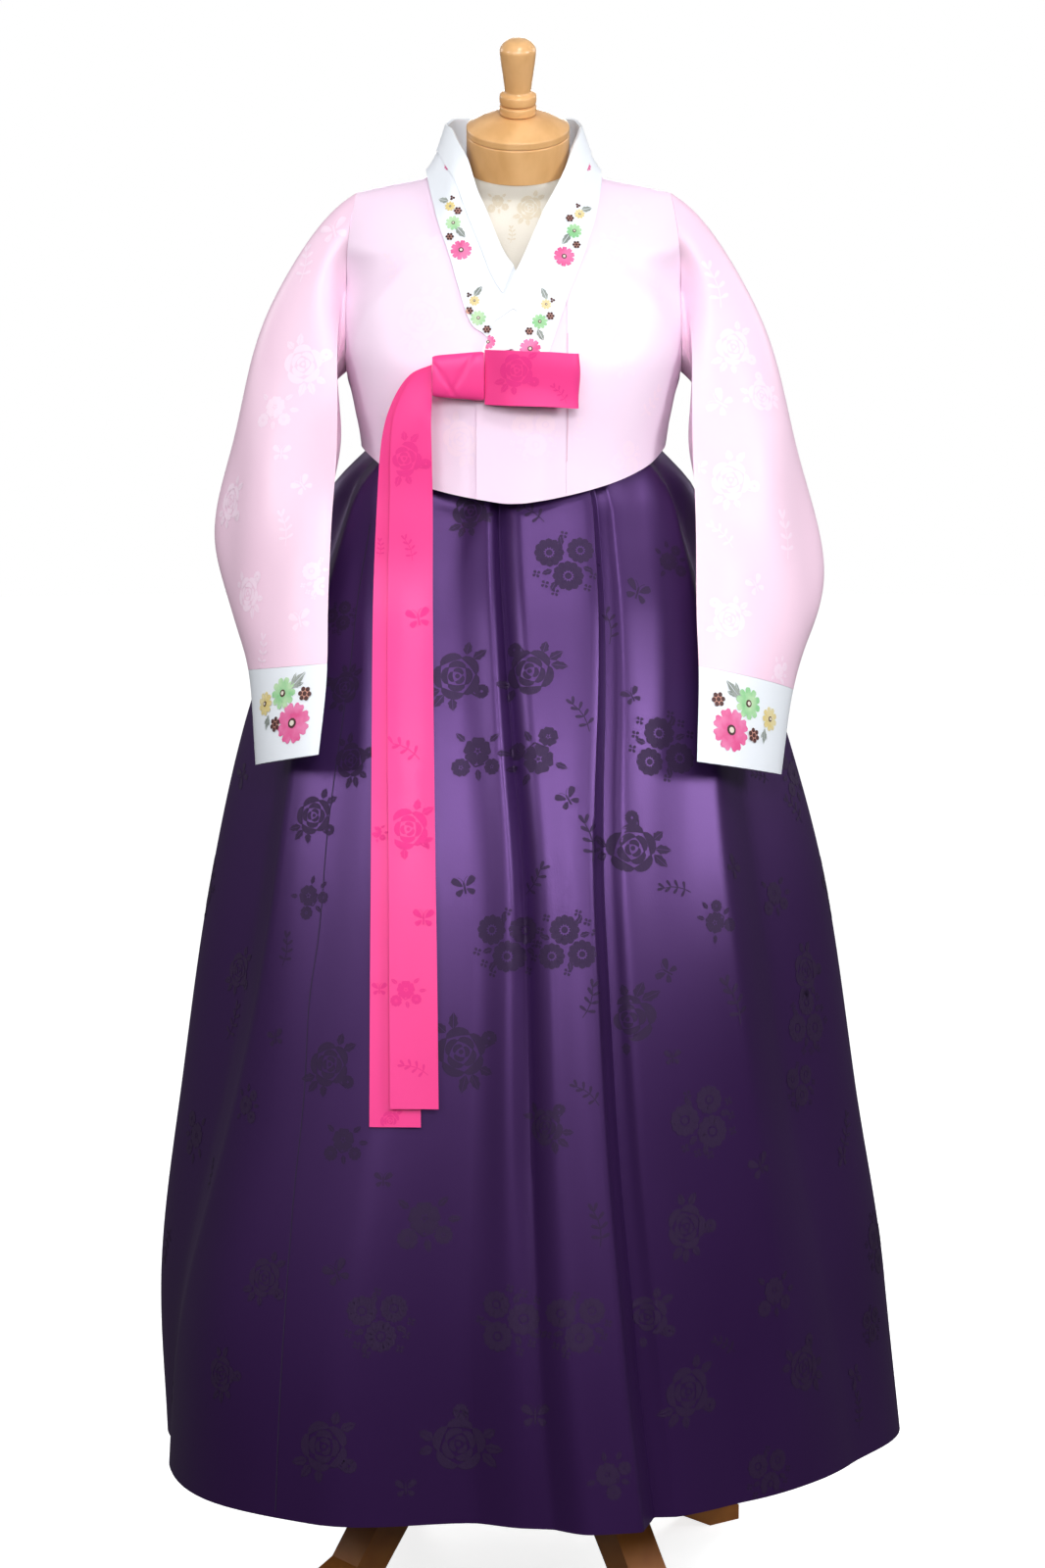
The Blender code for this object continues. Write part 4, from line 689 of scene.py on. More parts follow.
def body_point(across, drop):
    """Point of the jacket's surface; drop is positive down the front, negative down the back."""
    down = np.abs(drop)
    turned = down < SHOULDER_ROUND * math.pi / 2
    angle = np.where(turned, down / SHOULDER_ROUND, math.pi / 2)
    below = np.where(turned, SHOULDER_ROUND * (1 - np.cos(angle)),
                     SHOULDER_ROUND + down - SHOULDER_ROUND * math.pi / 2)
    height = shoulder_height(across) - below
    half = column(JACKET_BODY, 0, 1, height)
    share = np.clip(np.abs(across) / half, 0.0, 1.0 - 1e-8)
    plan = (1 - share**BODY_BOXINESS) ** (1 / BODY_BOXINESS)
    front = column(JACKET_BODY, 0, 2, height) * plan
    crease = column(CREASE, 0, 1, height)
    fade = np.clip((1.520 - height) / 0.05, 0.0, 1.0) * np.clip((height - 1.385) / 0.03, 0.0, 1.0)
    front = front - CREASE_SLOPE * fade * np.maximum(np.abs(across) - crease, 0.0)
    back = column(JACKET_BODY, 0, 3, height) * plan
    reach = np.where(drop >= 0, front, back) * np.sin(angle) + SEAM / 2
    y = np.where(drop >= 0, -reach, reach)
    return np.stack([JACKET_X + across, y, height], axis=-1)


def body_normal(across, drop):
    """Outward unit normals of the jacket's surface."""
    step = 2e-6
    side = body_point(across + step, drop) - body_point(across - step, drop)
    inside = np.where(np.abs(drop) < 2e-5, np.where(drop >= 0, 2e-5, -2e-5), drop)
    down = body_point(across, inside + step) - body_point(across, inside - step)
    return unit(np.cross(down, side))


def towards_side(t):
    return np.sin(t * math.pi / 2)


def towards_both_sides(t):
    return t - np.sin(2 * t * math.pi) / (4 * math.pi)


def drape(across, height):
    """Soft waves of the jacket's cloth, deepest at its hem."""
    near = np.clip((HEM_DRAPE_TOP - height) / (HEM_DRAPE_TOP - HEM[0][1]), 0.0, 1.0)
    return HEM_DRAPE * near * near * (np.sin(across * 61.0 + 0.6) + 0.6 * np.sin(across * 27.0 + 2.2))


def panel(name, face, bottom, top, left, right, spread, lift, rows, columns, material):
    """A body panel between four edges, each a list of places (from_middle, height)."""
    rows, columns = fine(rows), fine(columns)

    def edge(places, count, ease):
        across = np.array([place[0] for place in places], float)
        height = np.array([place[1] for place in places], float)
        at = np.linspace(0.0, 1.0, len(places))
        t = ease(np.linspace(0.0, 1.0, count))
        return smooth(at, across, t), smooth(at, height, t)

    def even(t):
        return t

    u = spread(np.linspace(0.0, 1.0, columns))[None, :]
    v = np.linspace(0.0, 1.0, rows)[:, None]
    places = []
    for low, high, near, far in zip(edge(bottom, columns, spread), edge(top, columns, spread),
                                    edge(left, rows, even), edge(right, rows, even)):
        places.append((1 - v) * low[None, :] + v * high[None, :]
                      + (1 - u) * near[:, None] + u * far[:, None]
                      - (1 - u) * (1 - v) * low[0] - u * (1 - v) * low[-1]
                      - (1 - u) * v * high[0] - u * v * high[-1])
    across, height = places
    height[-1] = np.where(np.abs(across[-1]) > NECK_POINT - SEAM, shoulder_height(across[-1]), height[-1])
    drop = face * np.maximum(height_to_drop(across, height), RIDGE_DROP)
    points = body_point(across, drop)
    normals = body_normal(across, drop)
    out = (lift(across) + drape(across, height))[..., None]
    return wall(name, points + normals * out, points + normals * (out - CLOTH), material, name)


def hem_height(across, face):
    low = column(HEM, 0, 1, np.abs(across))
    side = HEM[-1][1]
    return low if face > 0 else side - (side - low) * BACK_HEM_RISE


def hem_places(start, end, face, count=7):
    return [(x, float(hem_height(x, face))) for x in np.linspace(start, end, count)]


def shoulder_places(start, end, count=5):
    return [(x, float(shoulder_height(x))) for x in np.linspace(start, end, count)]


def heights_below(top, bottom, face, count):
    """Heights from a place on the shoulder line down, closer together round the shoulder."""
    turned = top - SHOULDER_ROUND * (1 - np.cos(np.radians(SHOULDER_ROWS[face])))
    straight = np.linspace(turned[-1], bottom, count - len(turned) + 1)[1:]
    return np.concatenate([turned, straight])


def armhole_heights(face):
    return heights_below(SHOULDER_TIP[1], UNDERARM[1], face, ARMHOLE_ROWS[face])


def side_rows(face):
    return SIDE_SEAM_ROWS - 1 + ARMHOLE_ROWS[face]


def side_places(sign, face):
    """A panel's side, up the side seam and then round the armhole."""
    seam = np.linspace(HEM[-1][1], UNDERARM[1], SIDE_SEAM_ROWS)[:-1]
    places = [(sign * float(column(JACKET_BODY, 0, 1, z)), z) for z in seam]
    for z in armhole_heights(face)[::-1]:
        places.append((sign * float(column(ARMHOLE_EDGE, 0, 1, z)), z))
    return places


def neckline_places(table, sign):
    """A front's inner edge from the hem up to the shoulder line, read from (height, from_middle)."""
    heights = heights_below(table[-1][0], table[0][0], 1, side_rows(1))[::-1]
    return [(sign * float(column(table, 0, 1, z)), z) for z in heights]


def make_body(materials):
    # The body panels take the paler copy of the sleeves' pink: painted highlight for the light falling on
    # the chest.
    pink = materials["pink_body"]
    tip = SHOULDER_TIP[0]
    side = HEM[-1][0]

    def flush(across):
        return np.zeros_like(across)

    neck = NECK_POINT
    ridge = float(shoulder_height(neck))
    made = panel("jeogori_back", -1, hem_places(-side, side, -1, 13),
                 [(-tip, SHOULDER_TIP[1]), (-0.128, float(shoulder_height(0.128))), (-neck, ridge),
                  (-0.045, BACK_NECK), (0.0, BACK_NECK), (0.045, BACK_NECK), (neck, ridge),
                  (0.128, float(shoulder_height(0.128))), (tip, SHOULDER_TIP[1])],
                 side_places(-1, -1), side_places(1, -1), towards_both_sides, flush,
                 side_rows(-1), 21, pink)
    hem = float(hem_height(UNDER_EDGE, 1))
    made.update(panel("jeogori_front_right", 1, hem_places(UNDER_EDGE, -side, 1),
                      shoulder_places(-neck, -tip),
                      neckline_places(((hem, -UNDER_EDGE),) + RIGHT_NECKLINE + ((ridge, neck),), -1),
                      side_places(-1, 1), towards_side, flush, side_rows(1), 11, pink))
    seam = OVERLAP_SEAM + SEAM / 2
    hem = float(hem_height(seam, 1))
    made.update(panel("jeogori_front_left", 1, hem_places(seam, side, 1), shoulder_places(neck, tip),
                      neckline_places(((hem, seam), (1.400, seam)) + LEFT_NECKLINE + ((ridge, neck),), 1),
                      side_places(1, 1), towards_side, overlap_lift, side_rows(1), 9, pink))
    seam = OVERLAP_SEAM - SEAM / 2
    edge = OVERLAP_EDGE
    made.update(panel("jeogori_overlap", 1, hem_places(edge, seam, 1),
                      [(edge, 1.383), (-0.016, 1.397), (0.008, 1.422), (0.034, 1.456), (seam, 1.484)],
                      [(edge, float(hem_height(edge, 1))), (edge, 1.383)],
                      [(seam, float(hem_height(seam, 1))), (seam, 1.484)],
                      towards_both_sides, overlap_lift, 11, 7, pink))
    return made


# Sleeves


def armhole_ring(sign):
    """The armhole's edge, over the shoulder, down the back and up the front, and the way out of it."""
    halves = []
    for face in (-1, 1):
        heights = armhole_heights(face)
        across = sign * column(ARMHOLE_EDGE, 0, 1, heights)
        near = np.clip((heights - UNDERARM[1]) / UNDERARM_ROUND, 0.0, 1.0)[:, None]
        drop = face * np.maximum(height_to_drop(across, heights), RIDGE_DROP)
        points = body_point(across, drop)
        away = unit(points - body_point(across - sign * SLEEVE_START, drop))
        away = unit(away + np.array([sign * SLEEVE_SPREAD, 0.0, 0.0]))
        away = unit(away * near + np.array([sign * 0.9, 0.0, -0.45]) * (1 - near))
        gap = SEAM * (1 + 2 * (1 - near))
        points[(0, -1), 1] = 0.0
        halves.append((points + away * gap, points + away * SLEEVE_START))
    rings = [np.concatenate([back, front[-2:0:-1]]) for back, front in zip(*halves)]
    return [np.roll(ring, FOLD_START, axis=0) for ring in rings]


def face_arc(start, end, bow, count):
    t = np.linspace(0.0, 1.0, count)[:, None]
    t = (t + 0.5 - 0.5 * np.cos(t * math.pi)) / 2
    swell = (1 - (2 * t - 1) ** 2) ** 0.85
    return start + (end - start) * t + bow * swell


def sleeve_ring(row):
    top, underarm, shown, hidden = (np.array(part) for part in row)
    face = face_arc(top, underarm, shown, FACE_POINTS)
    behind = face_arc(top, underarm, hidden, FACE_POINTS)
    return np.concatenate([face, behind[-2:0:-1]])


def tube_mitre(grid, along):
    """The way out of a tube's wall at each point, longer where the tube has a sharp fold."""
    before = unit(np.cross(along, grid - np.roll(grid, 1, axis=1)))
    after = unit(np.cross(along, np.roll(grid, -1, axis=1) - grid))
    shared = 1 + np.sum(before * after, axis=-1, keepdims=True)
    return (before + after) / np.maximum(shared, MITRE_LIMIT)


def fine_ring(ring):
    """A sleeve's ring with more points, still sharp at its fold and at its outer edge."""
    half = FACE_POINTS - 1
    shown = curve_through(ring[:half + 1], SLEEVE_FINE)
    hidden = curve_through(np.concatenate([ring[half:], ring[:1]]), SLEEVE_FINE)
    return np.concatenate([shown, hidden[1:-1]])


def make_sleeve(side_name, sign, table, materials):
    """The sleeve and its cuff, cut from one tube that runs on from the armhole."""
    rings = np.array([fine_ring(ring) for ring in armhole_ring(sign) + [sleeve_ring(row) for row in table]])
    middle = rings.mean(axis=1)
    travel = np.concatenate([[0.0], np.cumsum(np.linalg.norm(np.diff(middle, axis=0), axis=1))])
    cuff_start = travel[-2]

    def tube(where):
        return np.stack([smooth_points(travel, rings[:, k], where) for k in range(rings.shape[1])], axis=1)

    made = {}
    length = travel[-1]
    whole = np.concatenate([[0.0], np.linspace(travel[1], length, SLEEVE_ROWS + CUFF_ROWS)])
    eased_tube = eased(tube(whole), ROUNDING_PASSES)
    run = whole[:, None] / length
    round_ring = np.arange(rings.shape[1])[None, :] / rings.shape[1] * 2 * math.pi
    waves = (np.sin(3 * round_ring + 9.0 * run) + 0.7 * np.sin(5 * round_ring - 14.0 * run + 1.3))
    swell = np.sin(math.pi * np.clip(run / (cuff_start / length), 0.0, 1.0)) ** 1.5
    along = unit(np.gradient(eased_tube, axis=0)).mean(axis=1, keepdims=True)
    outward = unit(tube_mitre(eased_tube, along) * sign)
    eased_tube = eased_tube + outward * (SLEEVE_DRAPE * waves * swell)[..., None]
    for name, start, end, rows, material in (
            ("sleeve_" + side_name, 0.0, cuff_start - SEAM / 2, SLEEVE_ROWS, "pink_satin"),
            ("cuff_" + side_name, cuff_start + SEAM / 2, length, CUFF_ROWS, "white_satin")):
        where = np.linspace(start, end, rows)
        grid = np.stack([np.stack([np.interp(where, whole, eased_tube[:, k, axis])
                                   for axis in range(3)], axis=-1)
                         for k in range(rings.shape[1])], axis=1)
        along = unit(np.gradient(grid, axis=0)).mean(axis=1, keepdims=True)
        made.update(wall(name, grid, grid - tube_mitre(grid, along) * sign * CLOTH,
                         materials[material], name, closed=True))
    return made


def make_sleeves(materials):
    made = make_sleeve("right", -1, RIGHT_SLEEVE, materials)
    made.update(make_sleeve("left", 1, LEFT_SLEEVE, materials))
    return made


# Collar


def collar_rails(where):
    """Both edges of the band along its length: across, and drop from the shoulder line.

    Round the back of the neck an edge keeps its height, however the shoulder line runs there.
    """
    stations = np.linspace(0.0, 1.0, len(COLLAR_RAILS))
    behind = [k for k, row in enumerate(COLLAR_RAILS) if row[2] < 0]
    at_back = (where >= stations[behind[0]]) & (where <= stations[behind[-1]])
    rails = []
    for rail in (0, 1):
        across = np.array([row[rail][0] for row in COLLAR_RAILS])
        drop = np.array([row[2] * float(height_to_drop(row[rail][0], row[rail][1]))
                         for row in COLLAR_RAILS])
        shown = smooth(stations, across, where)
        level = np.interp(where, stations[behind], [COLLAR_RAILS[k][rail][1] for k in behind])
        behind_drop = -height_to_drop(shown, level)
        rails.append((shown, np.where(at_back, behind_drop, smooth(stations, drop, where))))
    return rails


def collar_lift(across, drop, where):
    """The left end lies over the right one and the overlap panel; shoulders and back stand off."""
    near = np.clip(1 - np.maximum(drop, 0.0) / COLLAR_STAND_REACH, 0.0, 1.0)
    return np.where(where > 0.5, overlap_lift(across), 0.0) + COLLAR_STAND * near * near * (3 - 2 * near)


def make_collar(materials):
    where = np.linspace(0.0, 1.0, COLLAR_ROWS)
    (neck_across, neck_drop), (body_across, body_drop) = collar_rails(where)
    made = {}
    for name, (start, end), share, more, cloth, material in (
            ("collar_band", (0.0, 1.0), 1.0, 0.0, COLLAR_CLOTH, "white_satin"),
            ("collar_trim", TRIM_SPAN, TRIM_SHARE, SEAM + TRIM_CLOTH, TRIM_CLOTH, "trim_white")):
        rows = np.where((where >= start - ROUND_OFF) & (where <= end + ROUND_OFF))[0]
        t = np.linspace(0.0, share, COLLAR_COLUMNS)[None, :]
        across = (neck_across[:, None] * (1 - t) + body_across[:, None] * t)[rows]
        drop = (neck_drop[:, None] * (1 - t) + body_drop[:, None] * t)[rows]
        points = body_point(across, drop)
        normals = body_normal(across, drop)
        height = points[..., 2]
        out = (LAYER + COLLAR_CLOTH + collar_lift(across, drop, where[rows][:, None]) + more
               + np.where(drop > 0, drape(across, height), 0.0))[..., None]
        made.update(wall(name, points + normals * out, points + normals * (out - cloth),
                         materials[material], name))
    return made


# Breast ribbon


def ribbon(name, left, right, crease, material):
    """A flat ribbon between two edges, with a soft crease along it."""
    grid = []
    for share in np.linspace(0.0, 1.0, TAIL_COLUMNS):
        grid.append(np.array(left) * (1 - share) + np.array(right) * share)
    grid = np.stack([curve_through(line, TAIL_ROWS // len(left)) for line in grid], axis=1)
    normals = grid_normals(grid)
    t = np.linspace(0.0, 1.0, TAIL_COLUMNS)[None, :, None]
    s = np.linspace(0.0, 1.0, len(grid))[:, None, None]
    grid = grid + normals * (crease * np.sin(math.pi * (2 * t + 1.5 * s)) * np.sin(math.pi * s) ** 0.5)
    return wall(name, grid, grid - normals * RIBBON_CLOTH, material, name)


def make_knot(material):
    """The wrap of ribbon that holds the bow, narrower where the tails leave it."""
    x = np.linspace(-1.0, 1.0, KNOT_ROWS)[:, None]
    turn = np.linspace(0.0, 2 * math.pi, KNOT_COLUMNS, endpoint=False)[None, :]
    ends = (1 - np.abs(x) ** 8) ** 0.25
    ends = np.maximum(ends, 0.55)
    tall = KNOT_SIZE[2] / 2 * (0.91 + 0.09 * x) * (0.88 + 0.12 * ends)
    deep = KNOT_SIZE[1] / 2 * (0.70 + 0.30 * ends)
    round_y = np.sign(np.cos(turn)) * np.abs(np.cos(turn)) ** 0.55
    round_z = np.sign(np.sin(turn)) * np.abs(np.sin(turn)) ** 0.62
    folds = 1 - 0.16 * np.exp(-((x * 1.1 - round_z * 0.55 - 0.10) / 0.10) ** 2) * (round_y < 0)
    folds = folds - 0.12 * np.exp(-((x * 0.9 + round_z * 0.5 + 0.55) / 0.09) ** 2) * (round_y < 0)
    grid = np.stack([np.broadcast_to(KNOT[0] + x * KNOT_SIZE[0] / 2, (KNOT_ROWS, KNOT_COLUMNS)),
                     KNOT[1] + deep * round_y * folds * 1.06, KNOT[2] + tall * round_z], axis=-1)
    inner = (grid - np.array(KNOT)) * np.array((0.98, 0.82, 0.94)) + np.array(KNOT)
    made = wall("ribbon_knot", grid, inner, material, "ribbon_knot", closed=True)
    thing = made["ribbon_knot"]
    build = bmesh.new()
    build.from_mesh(thing.data)
    build.verts.ensure_lookup_table()
    count = grid.shape[0] * grid.shape[1]
    for first in (count, count + grid.shape[1] * (grid.shape[0] - 1)):
        build.faces.new([build.verts[first + k] for k in range(grid.shape[1])])
    build.to_mesh(thing.data)
    build.free()
    return made


def make_ribbon(materials):
    magenta = materials["magenta_satin"]
    made = make_knot(magenta)
    for name, table, crease in (("ribbon_tail_front", FRONT_TAIL, 0.0008),
                                ("ribbon_tail_back", BACK_TAIL, 0.0006)):
        left, right = zip(*table)
        made.update(ribbon(name, left, right, crease, magenta))
    half = LOOP_HEIGHT / 2
    made.update(ribbon("ribbon_loop", [(x, y, z + half) for x, y, z in LOOP_PATH],
                       [(x, y, z - half) for x, y, z in LOOP_PATH], 0.0010, magenta))
    return made


# Skirt


def skirt_rows(places, heights):
    """Grid of the skirt's surface; a place counts folds round from the wearer's right side."""
    count = len(SKIRT_FOLDS)
    turns = np.floor(places / count)
    local = places - turns * count
    first = np.minimum(local.astype(int), count - 1)
    t = local - first
    crisp = np.array([fold[7] for fold in SKIRT_FOLDS])
    next_fold = (first + 1) % count
    wrap = np.where(first + 1 == count, 360.0, 0.0)
    rows = []
    for height in heights:
        angles = np.array([float(smooth(FOLD_LEVELS, [fold[k] for k in (1, 2, 3)], height))
                           for fold in SKIRT_FOLDS])
        reach = np.array([float(smooth(FOLD_LEVELS, [fold[k] for k in (4, 5, 6)], height))
                          for fold in SKIRT_FOLDS]) / 1000.0
        reach = reach * float(column(FOLD_FADE, 0, 1, height))
        angle = angles[first] + (angles[next_fold] + wrap - angles[first]) * t + turns * 360.0
        rise = reach[next_fold] - reach[first]
        out = (reach[first] + rise * (3 * t**2 - 2 * t**3)
               + 1.3 * rise * crisp[first] * (t**3 - 2 * t**2 + t)
               + 1.3 * rise * crisp[next_fold] * (t**3 - t**2))
        turn = np.radians(angle)
        half = float(column(SKIRT_SECTIONS, 0, 2, height))
        front = float(column(SKIRT_SECTIONS, 0, 3, height))
        back = float(column(SKIRT_SECTIONS, 0, 4, height))
        depth = np.where(np.cos(turn) > 0, front, back)
        base = np.stack([half * np.sin(turn), -depth * np.cos(turn)], axis=-1)
        away = unit(np.stack([np.sin(turn) / half, -np.cos(turn) / depth], axis=-1))
        flat = base + away * out[:, None]
        rows.append((flat, away, np.full(len(places), height), float(column(SKIRT_SECTIONS, 0, 1, height))))
    return rows


def make_skirt(materials):
    edge = [fold[0] for fold in SKIRT_FOLDS].index("wrap edge ridge")
    start = edge - len(SKIRT_FOLDS) + WRAP_START
    end = edge + WRAP_START + WRAP_OVER
    count = int(round((end - start) * SKIRT_COLUMNS)) + 1
    places = np.linspace(start, end, count)
    lap = np.clip((places - (end - 2.2 * WRAP_OVER)) / WRAP_OVER, 0.0, 1.0)
    lift = WRAP_LIFT * lap * lap * (3 - 2 * lap)
    heights = np.linspace(SKIRT_LEVELS[0], SKIRT_LEVELS[-1], SKIRT_ROWS)
    grid = []
    for flat, away, height, centre in skirt_rows(places, heights):
        moved = flat + away * lift[:, None]
        grid.append(np.column_stack([moved[:, 0] + centre, moved[:, 1], height]))
    grid = np.array(grid)
    normals = -grid_normals(grid)
    down = np.linspace(0.0, 1.0, SKIRT_ROWS)[:, None]
    waves = SKIRT_DRAPE * np.sin(places * 5.1 + 2.0 * np.sin(3.0 * down)) * np.sin(math.pi * down) ** 0.7
    grid = grid + normals * waves[..., None]
    return wall("chima_skirt", grid, grid - normals * CLOTH, materials["purple_satin"], *SKIRT_WIDTHS)


def make_waistband(materials):
    turn = np.radians(np.linspace(0.0, 360.0, BAND_COLUMNS, endpoint=False))
    depth = np.where(np.cos(turn) > 0, WAISTBAND_FRONT, WAISTBAND_BACK)
    ring = np.column_stack([JACKET_X + WAISTBAND_HALF * np.sin(turn), -depth * np.cos(turn)])
    heights = np.linspace(SKIRT_LEVELS[0] + SEAM, WAISTBAND_TOP, BAND_ROWS)
    grid = np.array([np.column_stack([ring, np.full(len(ring), z)]) for z in heights])
    normals = grid_normals(grid, closed=True)
    pleats = BAND_PLEAT_DEPTH * np.sin(turn * BAND_PLEATS)
    outer = grid + normals * pleats[None, :, None]
    return wall("chima_waistband", outer, grid - normals * CLOTH, materials["purple_satin"],
                "chima_waistband", closed=True)


# Dress form


def lathe(name, profile, material):
    """A turned piece from a profile of (radius, height), on the neck's tilted axis."""
    stations = np.arange(len(profile), dtype=float)
    where = np.linspace(0.0, len(profile) - 1.0, (len(profile) - 1) * LATHE_STEPS + 1)
    radius = np.maximum(smooth(stations, [point[0] for point in profile], where), 0.00002)
    height = smooth(stations, [point[1] for point in profile], where)
    turn = np.linspace(0.0, 2 * math.pi, TURN_STEPS, endpoint=False)
    grid = np.stack([radius[:, None] * np.cos(turn), radius[:, None] * np.sin(turn),
                     np.broadcast_to(height[:, None], (len(where), TURN_STEPS))], axis=-1)
    tilt = np.array(Matrix.Rotation(NECK_TILT, 3, "X"))
    grid = grid @ tilt.T + np.array(NECK_BASE)
    return solid_of_rings(name, grid, material)


def make_neck(materials):
    wood = materials["neck_wood"]
    lid = NECK_LENGTH + SEAM
    rim = lid + 0.007
    dome = rim + 0.016
    made = lathe("form_neck_block", [(0.0, NECK_LENGTH), (NECK_RADIUS - 0.002, NECK_LENGTH),
                                     (NECK_RADIUS, NECK_LENGTH - 0.002), (NECK_RADIUS, 0.0),
                                     (0.0, 0.0)], wood)
    made.update(lathe("form_neck_lid", [(0.0, dome), (0.022, dome - 0.0015), (0.040, dome - 0.0065),
                                        (0.051, dome - 0.012), (NECK_RADIUS, rim),
                                        (NECK_RADIUS, lid + 0.001), (NECK_RADIUS - 0.002, lid),
                                        (0.0, lid)], wood))
    finial = [(0.0, 0.085), (0.010, 0.0835), (0.0165, 0.079), (0.020, 0.072), (0.0192, 0.062),
              (0.0162, 0.040), (0.0146, 0.026), (0.0200, 0.0215), (0.0205, 0.017), (0.0200, 0.0125),
              (0.0165, 0.0110), (0.0200, 0.0090), (0.0205, 0.0050), (0.0200, SEAM), (0.0, SEAM)]
    made.update(lathe("form_finial", [(radius, height + dome) for radius, height in finial], wood))
    return made


def make_torso(materials):
    rings = []
    stations = np.arange(len(TORSO_RINGS), dtype=float)
    for where in np.linspace(0.0, len(TORSO_RINGS) - 1.0, TORSO_ROWS):
        height, half, front, back, centre_y, tilt = (
            float(smooth(stations, [row[k] for row in TORSO_RINGS], where)) for k in range(6))
        turn = np.linspace(0.0, 2 * math.pi, TURN_STEPS, endpoint=False)
        x = half * np.sin(turn)
        y = -np.where(np.cos(turn) > 0, front, back) * np.cos(turn)
        slope = math.radians(tilt)
        rings.append(np.column_stack([FORM_X + x, centre_y + y * math.cos(slope),
                                      height + y * math.sin(slope)]))
    return solid_of_rings("form_torso", np.array(rings), materials["torso_cloth"])


# Materials


def node(tree, kind, **settings):
    made = tree.nodes.new(kind)
    for name, value in settings.items():
        setattr(made, name, value)
    return made


def finish_material(name, colours, roughness, grain, bump, shine):
    """A material whose colour wanders between two, with a fine weave or grain in its relief.

    colours: two of (red, green, blue).  grain: (scale x, y, z) of the relief, then of the colour.
    bump: height of the relief in metres.  shine: sockets of the shader that are set as they are.
    """
    material = bpy.data.materials.new(name)
    material.use_nodes = True
    tree = material.node_tree
    shader = tree.nodes["Principled BSDF"]
    for socket, value in shine.items():
        shader.inputs[socket].default_value = value
    place = node(tree, "ShaderNodeTexCoord")
    wander = node(tree, "ShaderNodeMapping")
    wander.inputs["Scale"].default_value = grain[3:]
    cloud = node(tree, "ShaderNodeTexNoise")
    cloud.inputs["Scale"].default_value = 1.0
    cloud.inputs["Detail"].default_value = 3.0
    ramp = node(tree, "ShaderNodeValToRGB")
    ramp.color_ramp.elements[0].position = 0.35
    ramp.color_ramp.elements[0].color = (*colours[0], 1.0)
    ramp.color_ramp.elements[1].position = 0.65
    ramp.color_ramp.elements[1].color = (*colours[1], 1.0)
    link = tree.links.new
    link(place.outputs["Object"], wander.inputs["Vector"])
    link(wander.outputs["Vector"], cloud.inputs["Vector"])
    link(cloud.outputs["Fac"], ramp.inputs["Fac"])
    link(ramp.outputs["Color"], shader.inputs["Base Color"])
    fine = node(tree, "ShaderNodeMapping")
    fine.inputs["Scale"].default_value = grain[:3]
    threads = node(tree, "ShaderNodeTexNoise")
    threads.inputs["Scale"].default_value = 1.0
    threads.inputs["Detail"].default_value = 2.0
    relief = node(tree, "ShaderNodeBump")
    relief.inputs["Distance"].default_value = bump
    relief.inputs["Strength"].default_value = 0.6
    link(place.outputs["Object"], fine.inputs["Vector"])
    link(fine.outputs["Vector"], threads.inputs["Vector"])
    link(threads.outputs["Fac"], relief.inputs["Height"])
    link(relief.outputs["Normal"], shader.inputs["Normal"])
    spread = node(tree, "ShaderNodeMapRange")
    spread.inputs["To Min"].default_value = roughness[0]
    spread.inputs["To Max"].default_value = roughness[1]
    link(threads.outputs["Fac"], spread.inputs["Value"])
    link(spread.outputs["Result"], shader.inputs["Roughness"])
    return material


def make_materials():
    materials = {}
    for name, first, second, roughness, grain, bump, shine in MATERIALS:
        materials[name] = finish_material(name, (first, second), roughness, grain, bump, shine)
    return materials


# Outlines of the motifs, in halves of their size


def petal(x, y, turn, length, width, notch=0.0, points=10):
    """A petal or leaf from its foot outwards; a notch dents its tip."""
    t = np.linspace(0.0, 2 * math.pi, points, endpoint=False)
    out = 0.5 - 0.5 * np.cos(t)
    far = length * (out - notch * np.exp(-((t - math.pi) / 0.45) ** 2))
    side = width / 2 * np.sin(t) * (0.45 + 0.85 * out)
    turn = math.radians(turn)
    return np.column_stack([x + far * math.cos(turn) - side * math.sin(turn),
                            y + far * math.sin(turn) + side * math.cos(turn)])


def flower(x, y, inner, outer, count, width, turn=0.0, notch=0.0, points=10):
    shapes = []
    for k in range(count):
        angle = turn + 360.0 * k / count
        foot = math.radians(angle)
        shapes.append(petal(x + inner * math.cos(foot), y + inner * math.sin(foot), angle,
                            outer - inner, width, notch, points))
    return shapes


def disc(x, y, radius, points=8):
    t = np.linspace(0.0, 2 * math.pi, points, endpoint=False)
    return np.column_stack([x + radius * np.cos(t), y + radius * np.sin(t)])


def leaf(x, y, turn, length, width, gap=0.04):
    """A leaf of two halves, with its midrib left open between them."""
    s = np.linspace(0.0, 1.0, 7)
    halves = []
    turn = math.radians(turn)
    for side in (1, -1):
        edge = width / 2 * np.sin(math.pi * s ** 0.8) ** 0.9 * (1 - 0.25 * (np.arange(7) % 2))
        far = np.concatenate([s, s[-2:0:-1]]) * length
        wide = side * (np.concatenate([edge, np.zeros(len(s) - 2)]) + gap * length / 2)
        halves.append(np.column_stack([x + far * math.cos(turn) - wide * math.sin(turn),
                                       y + far * math.sin(turn) + wide * math.cos(turn)]))
    return halves


def stem(points, width):
    shapes = []
    for (x0, y0), (x1, y1) in zip(points, points[1:]):
        length = math.hypot(x1 - x0, y1 - y0)
        ax, ay = -(y1 - y0) / length * width / 2, (x1 - x0) / length * width / 2
        shapes.append(np.array([(x0 + ax, y0 + ay), (x0 - ax, y0 - ay),
                                (x1 - ax, y1 - ay), (x1 + ax, y1 + ay)]))
    return shapes


